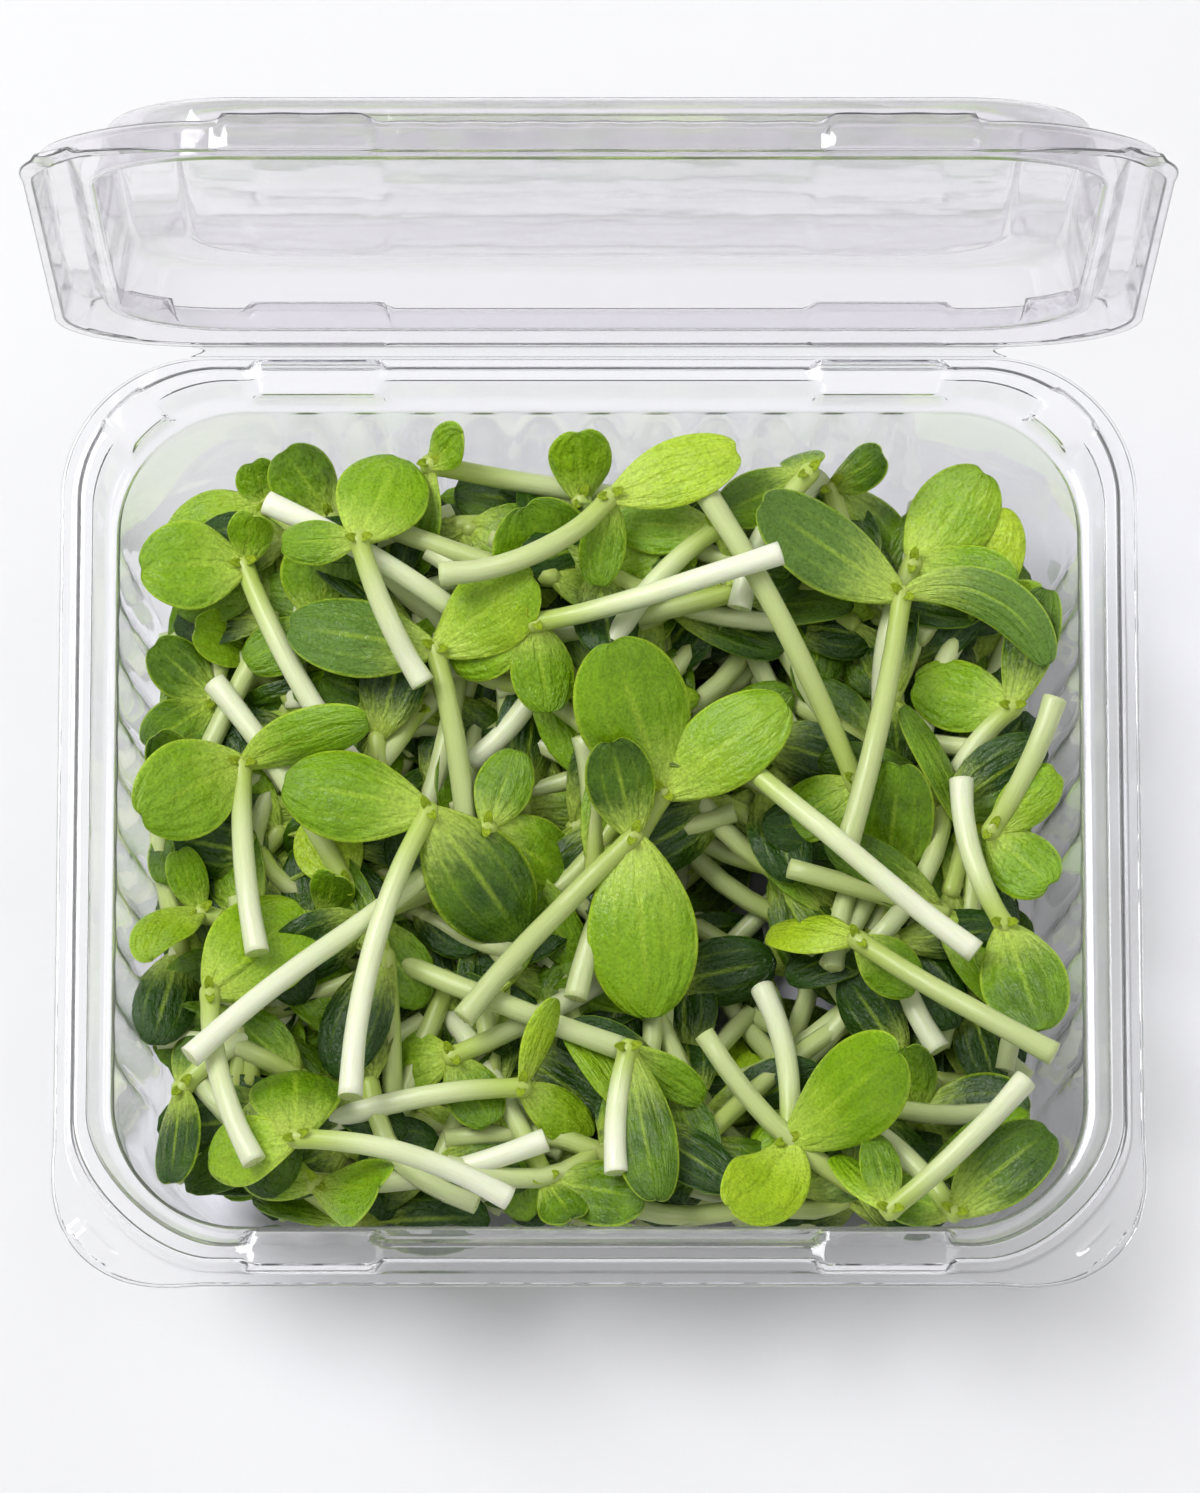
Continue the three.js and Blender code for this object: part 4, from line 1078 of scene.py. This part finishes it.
class SheetSizes(bpy.types.PropertyGroup):
    """Sizes of the pressed sheet and of the greens that fill it."""

    tray_thickness: length("Tray sheet", "Thickness of the tray's wall", 0.0005)
    lid_thickness: length("Lid sheet", "Thickness of the lid's wall", 0.0004)
    hinge_thickness: length("Hinge sheet", "Thickness of the hinge web", 0.00025)
    flute_pitch: length("Flute pitch", "Distance from one flute to the next", 0.010)
    flute_depth: length("Flute depth", "How far a flute of the tray goes in and out", 0.0008)
    lid_flute_depth: length("Lid flute depth", "How far a flute of the lid goes in and out", 0.0004)
    under_shoots: number_of("Lower shoots", "Number of simpler shoots below the modelled ones", 400)
    wall_shoots: number_of("Wall shoots", "Number of simpler shoots packed against the walls", 330)


class GreensLooks(bpy.types.PropertyGroup):
    """Colours and gloss of the leaves, the stems and the sheet."""

    # Partly painted shade: the darkest green also stands for leaves in the heap's shade.
    leaf_dark: tint("Leaf, dark", "Darkest green of a leaf", DARK_AND_SHADE_GREEN)
    leaf_middle: tint("Leaf, middle", "Usual green of a leaf", MIDDLE_GREEN)
    leaf_light: tint("Leaf, light", "Young yellow green", LIGHT_GREEN)
    leaf_margin: tint("Leaf margin", "Fleshy edge of a leaf", MARGIN_GREEN)
    stem_foot: tint("Stem, foot", "Blanched end of a stem", FOOT_WHITE)
    stem_crown: tint("Stem, crown", "Top of a stem", CROWN_GREEN)
    tray_tint: tint("Tray tint", "Colour of the tray's clear sheet", (0.97, 0.97, 0.98))
    # The lid is the same sheet as the tray, but its tint is darker and greyer: painted shade, so that the
    # standing lid looks dimmer than the tray.
    lid_shaded_tint: tint("Lid tint", "Colour of the lid's clear sheet", (0.91, 0.9, 0.92))
    sheet_roughness: bpy.props.FloatProperty(
        name="Sheet roughness", description="Blur of the sheet's gloss", default=0.05, subtype="FACTOR"
    )


class StageSettings(bpy.types.PropertyGroup):
    """Camera and light."""

    elevation: bpy.props.FloatProperty(
        name="Elevation", description="Camera's height above the horizon", default=float(np.radians(75)),
        subtype="ANGLE",
    )
    distance: length("Distance", "From the camera to its target", 2.0)
    lens: bpy.props.FloatProperty(name="Lens", description="Focal length in millimetres", default=283.8)
    key_power: bpy.props.FloatProperty(
        name="Overhead light", description="Power of the large overhead light", default=17.0, unit="POWER"
    )
    sky: bpy.props.FloatProperty(
        name="Surrounding light", description="Strength of the room's light", default=0.56
    )


# ---------------------------------------------------------------- operators

class GREENS_OT_tray(bpy.types.Operator):
    """Make the clear tray with its beaded rim, snap blocks and fluted wall"""

    bl_idname = "greens.tray"
    bl_label = "Clear tray"

    def execute(self, context):
        sizes = context.scene.greens_sizes
        corners = [
            (0, 49.4), (0.25, 50), (0.7, 50), (1.2, 50), (1.7, 50), (2.2, 50),
            (3.2, 54.5), (3.8, 55), (5.6, 55), (6.2, 54.7), (8.1, 50.9), (9.4, 50.6), (10.2, 50),
            (WALL_FOOT, FOOT_Z), (18.6, 2.4), (21.5, 0.6), (26, 0.6), (27.5, 1.4), (34, 1.4),
        ]
        profile = filled_profile(rounded_profile(corners))
        rings = pressed_sheet(profile, sizes, (8, 48), 55)
        rings = np.concatenate([rings, closing_rings(rings[-1], MIDDLE_SHARES)])
        part = sheet_part(rings, True)
        clear = clear_material("Clear tray sheet", context.scene.greens_looks.tray_tint)
        piece = make_piece("clear_tray", part, [clear], "root")
        thicken(piece, sizes.tray_thickness)
        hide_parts("tray")
        return {"FINISHED"}


class GREENS_OT_lid(bpy.types.Operator):
    """Make the clear domed lid, standing open on its hinge"""

    bl_idname = "greens.lid"
    bl_label = "Clear lid"

    def execute(self, context):
        sizes = context.scene.greens_sizes
        up = LID_LIFT
        top = FLANGE_Z + DOME_RISE
        corners = [
            (0, 49.9 + up), (0.3, 50 + up), (0.8, 50 + up), (1.2, 50 + up), (1.6, 50 + up),
            (2.6, 54.5 + up), (3.2, 55.1 + up), (6.2, 55.1 + up), (6.75, 55 + up), (9, 50.95 + up),
            (10.4, 50.55 + up), (11.4, 50.9 + up), (13.2, top - 1.4), (14.5, top - 0.2),
            (20, top), (23, top), (24.2, top - 0.8), (33, top - 0.8),
        ]
        profile = filled_profile(rounded_profile(corners))
        rings = pressed_sheet(
            profile, sizes, (51.5, 62), 55.1 + up, spare=0.7, block_root=(0.2, 1.7), one_end=True
        )
        rings = np.concatenate([rings, closing_rings(rings[-1], MIDDLE_SHARES)])
        part = sheet_part(turned_open(rings), False)
        # The lid's darker tint is painted shade on the same clear sheet as the tray.
        clear = clear_material("Clear lid sheet", context.scene.greens_looks.lid_shaded_tint)
        piece = make_piece("clear_lid", part, [clear], "lid")
        thicken(piece, sizes.lid_thickness)
        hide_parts("lid")
        return {"FINISHED"}


class GREENS_OT_hinge(bpy.types.Operator):
    """Make the thin web that joins the tray to the lid"""

    bl_idname = "greens.hinge"
    bl_label = "Hinge web"

    def execute(self, context):
        # Across the web runs a half wave that bulges outwards, and its ends are cut in by a half sine.
        half_length, end_cut, depth, overlap = 70, 2.2, 0.35, 0.05
        near = np.array([DEPTH / 2 - overlap, FLANGE_Z - 0.25])
        far = turned_open(np.array([0, DEPTH / 2 - overlap, FLANGE_Z + LID_LIFT - overlap]))[1:]
        across = np.linspace(0, 1, 9)[:, None]
        x = np.linspace(-1, 1, 141)[None, :] * (half_length - end_cut * np.sin(np.pi * across))
        bulge = depth * np.sin(np.pi * across)
        y = near[0] + (far[0] - near[0]) * across + bulge * 0.8 + 0 * x
        z = near[1] + (far[1] - near[1]) * across - bulge * 0.6 + 0 * x
        rows, columns = x.shape
        here = (np.arange(rows - 1)[:, None] * columns + np.arange(columns - 1)[None, :]).ravel()
        quads = np.stack([here, here + 1, here + columns + 1, here + columns], -1)
        part = plain_part(np.stack([x, y, z], -1).reshape(-1, 3), quads, np.zeros((0, 3), int))
        clear = clear_material("Clear tray sheet", context.scene.greens_looks.tray_tint)
        piece = make_piece("hinge_web", part, [clear], None)
        thicken(piece, context.scene.greens_sizes.hinge_thickness)
        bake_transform(piece)
        return {"FINISHED"}


class GREENS_OT_shoots(bpy.types.Operator):
    """Make every laid shoot from its frame solid: two fleshy seed leaves, a bud and a stem"""

    bl_idname = "greens.shoots"
    bl_label = "Shoots"

    def execute(self, context):
        materials = shoot_materials()
        for number, (row, tones) in enumerate(zip(SHOOTS, TONES), start=1):
            name = f"shoot_{number:02d}"
            shoot = measured_shoot(name, row)
            part = shoot_part(shoot, tones[:2], tones[2], number)
            piece = make_piece(f"fine_{name}", part, materials, "root")
            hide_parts(name)
        return {"FINISHED"}


class GREENS_OT_under_layer(bpy.types.Operator):
    """Make the tangle of simpler shoots that fills the tray below the laid ones"""

    bl_idname = "greens.under_layer"
    bl_label = "Lower greens"

    def execute(self, context):
        sizes = context.scene.greens_sizes
        for name, part in (
            ("lower_greens", under_layer(sizes.under_shoots, False, LOWER_SEED)),
            ("greens_by_wall", under_layer(sizes.wall_shoots, True, WALL_SEED)),
        ):
            piece = make_piece(name, part, shoot_materials(), "root")
            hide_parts("greens_bed")
        return {"FINISHED"}


class GREENS_OT_stage(bpy.types.Operator):
    """Make the pale floor, the lights and the camera"""

    bl_idname = "greens.stage"
    bl_label = "Stage"

    def execute(self, context):
        stage = context.scene.greens_stage
        scene = context.scene
        mesh = bpy.data.meshes.new("floor")
        corners = [(-FLOOR_HALF, -FLOOR_HALF, 0), (FLOOR_HALF, -FLOOR_HALF, 0)]
        corners += [(FLOOR_HALF, FLOOR_HALF, 0), (-FLOOR_HALF, FLOOR_HALF, 0)]
        mesh.from_pydata(corners, [], [(0, 1, 2, 3)])
        floor = bpy.data.objects.new("floor", mesh)
        scene.collection.objects.link(floor)
        paper = bpy.data.materials.new("Pale floor")
        paper.use_nodes = True
        paper.node_tree.nodes["Principled BSDF"].inputs["Base Color"].default_value = (0.86, 0.86, 0.875, 1)
        paper.node_tree.nodes["Principled BSDF"].inputs["Roughness"].default_value = 0.7
        mesh.materials.append(paper)

        world = bpy.data.worlds.new("Room")
        scene.world = world
        world.use_nodes = True
        kit = NodeKit(world.node_tree)
        sky = world.node_tree.nodes["Background"]
        place = kit.node("ShaderNodeTexCoord")
        split = kit.node("ShaderNodeSeparateXYZ")
        kit.put(split.inputs[0], place.outputs["Generated"])
        up = kit.step(split.outputs[2], -0.1, 0.75)
        kit.put(sky.inputs["Color"], kit.mix(up, (0.42, 0.42, 0.44), (1.0, 1.0, 1.0)))
        sky.inputs["Strength"].default_value = stage.sky

        for name, place, size, share in LIGHTS:
            self.add_light(name, place, size, stage.key_power * share)

        target = Vector(CAMERA_TARGET)
        back = Vector((0, -np.cos(stage.elevation), np.sin(stage.elevation)))
        camera = bpy.data.objects.new("camera", bpy.data.cameras.new("camera"))
        camera.data.lens = stage.lens
        camera.data.sensor_width = 36
        camera.data.clip_start = 0.05
        camera.location = target + back * stage.distance
        camera.rotation_euler = (-back).to_track_quat("-Z", "Y").to_euler()
        scene.collection.objects.link(camera)
        scene.camera = camera
        scene.view_settings.view_transform = "Standard"
        return {"FINISHED"}

    def add_light(self, name, place, size, power):
        """A square light that faces the greens."""
        data = bpy.data.lights.new(name, "AREA")
        data.size = size
        data.energy = power
        light = bpy.data.objects.new(name, data)
        light.location = place
        light.rotation_euler = (Vector(LIT_PLACE) - Vector(place)).to_track_quat("-Z", "Y").to_euler()
        bpy.context.scene.collection.objects.link(light)


class GREENS_PT_panel(bpy.types.Panel):
    """Sizes, colours and the steps that make the tray of greens"""

    bl_idname = "GREENS_PT_panel"
    bl_label = "Sunflower microgreens tray"
    bl_space_type = "VIEW_3D"
    bl_region_type = "UI"
    bl_category = "Microgreens"

    def draw(self, context):
        for settings in (context.scene.greens_sizes, context.scene.greens_looks, context.scene.greens_stage):
            box = self.layout.box()
            for name in settings.__annotations__:
                box.prop(settings, name)
        for operator in STEPS:
            self.layout.operator(operator.bl_idname)


STEPS = (
    GREENS_OT_stage, GREENS_OT_tray, GREENS_OT_lid, GREENS_OT_hinge, GREENS_OT_shoots, GREENS_OT_under_layer,
)
SETTINGS = {"greens_sizes": SheetSizes, "greens_looks": GreensLooks, "greens_stage": StageSettings}


def register():
    """Adds the settings, the operators and the panel to Blender."""
    for kind in (*SETTINGS.values(), *STEPS, GREENS_PT_panel):
        bpy.utils.register_class(kind)
    for name, kind in SETTINGS.items():
        setattr(bpy.types.Scene, name, bpy.props.PointerProperty(type=kind))


def unregister():
    """Takes them away again."""
    for name in SETTINGS:
        delattr(bpy.types.Scene, name)
    for kind in reversed((*SETTINGS.values(), *STEPS, GREENS_PT_panel)):
        bpy.utils.unregister_class(kind)


def main():
    """Makes every piece in order."""
    register()
    bpy.ops.greens.stage()
    bpy.ops.greens.tray()
    bpy.ops.greens.lid()
    bpy.ops.greens.hinge()
    bpy.ops.greens.shoots()
    bpy.ops.greens.under_layer()


if __name__ == "__main__":
    main()
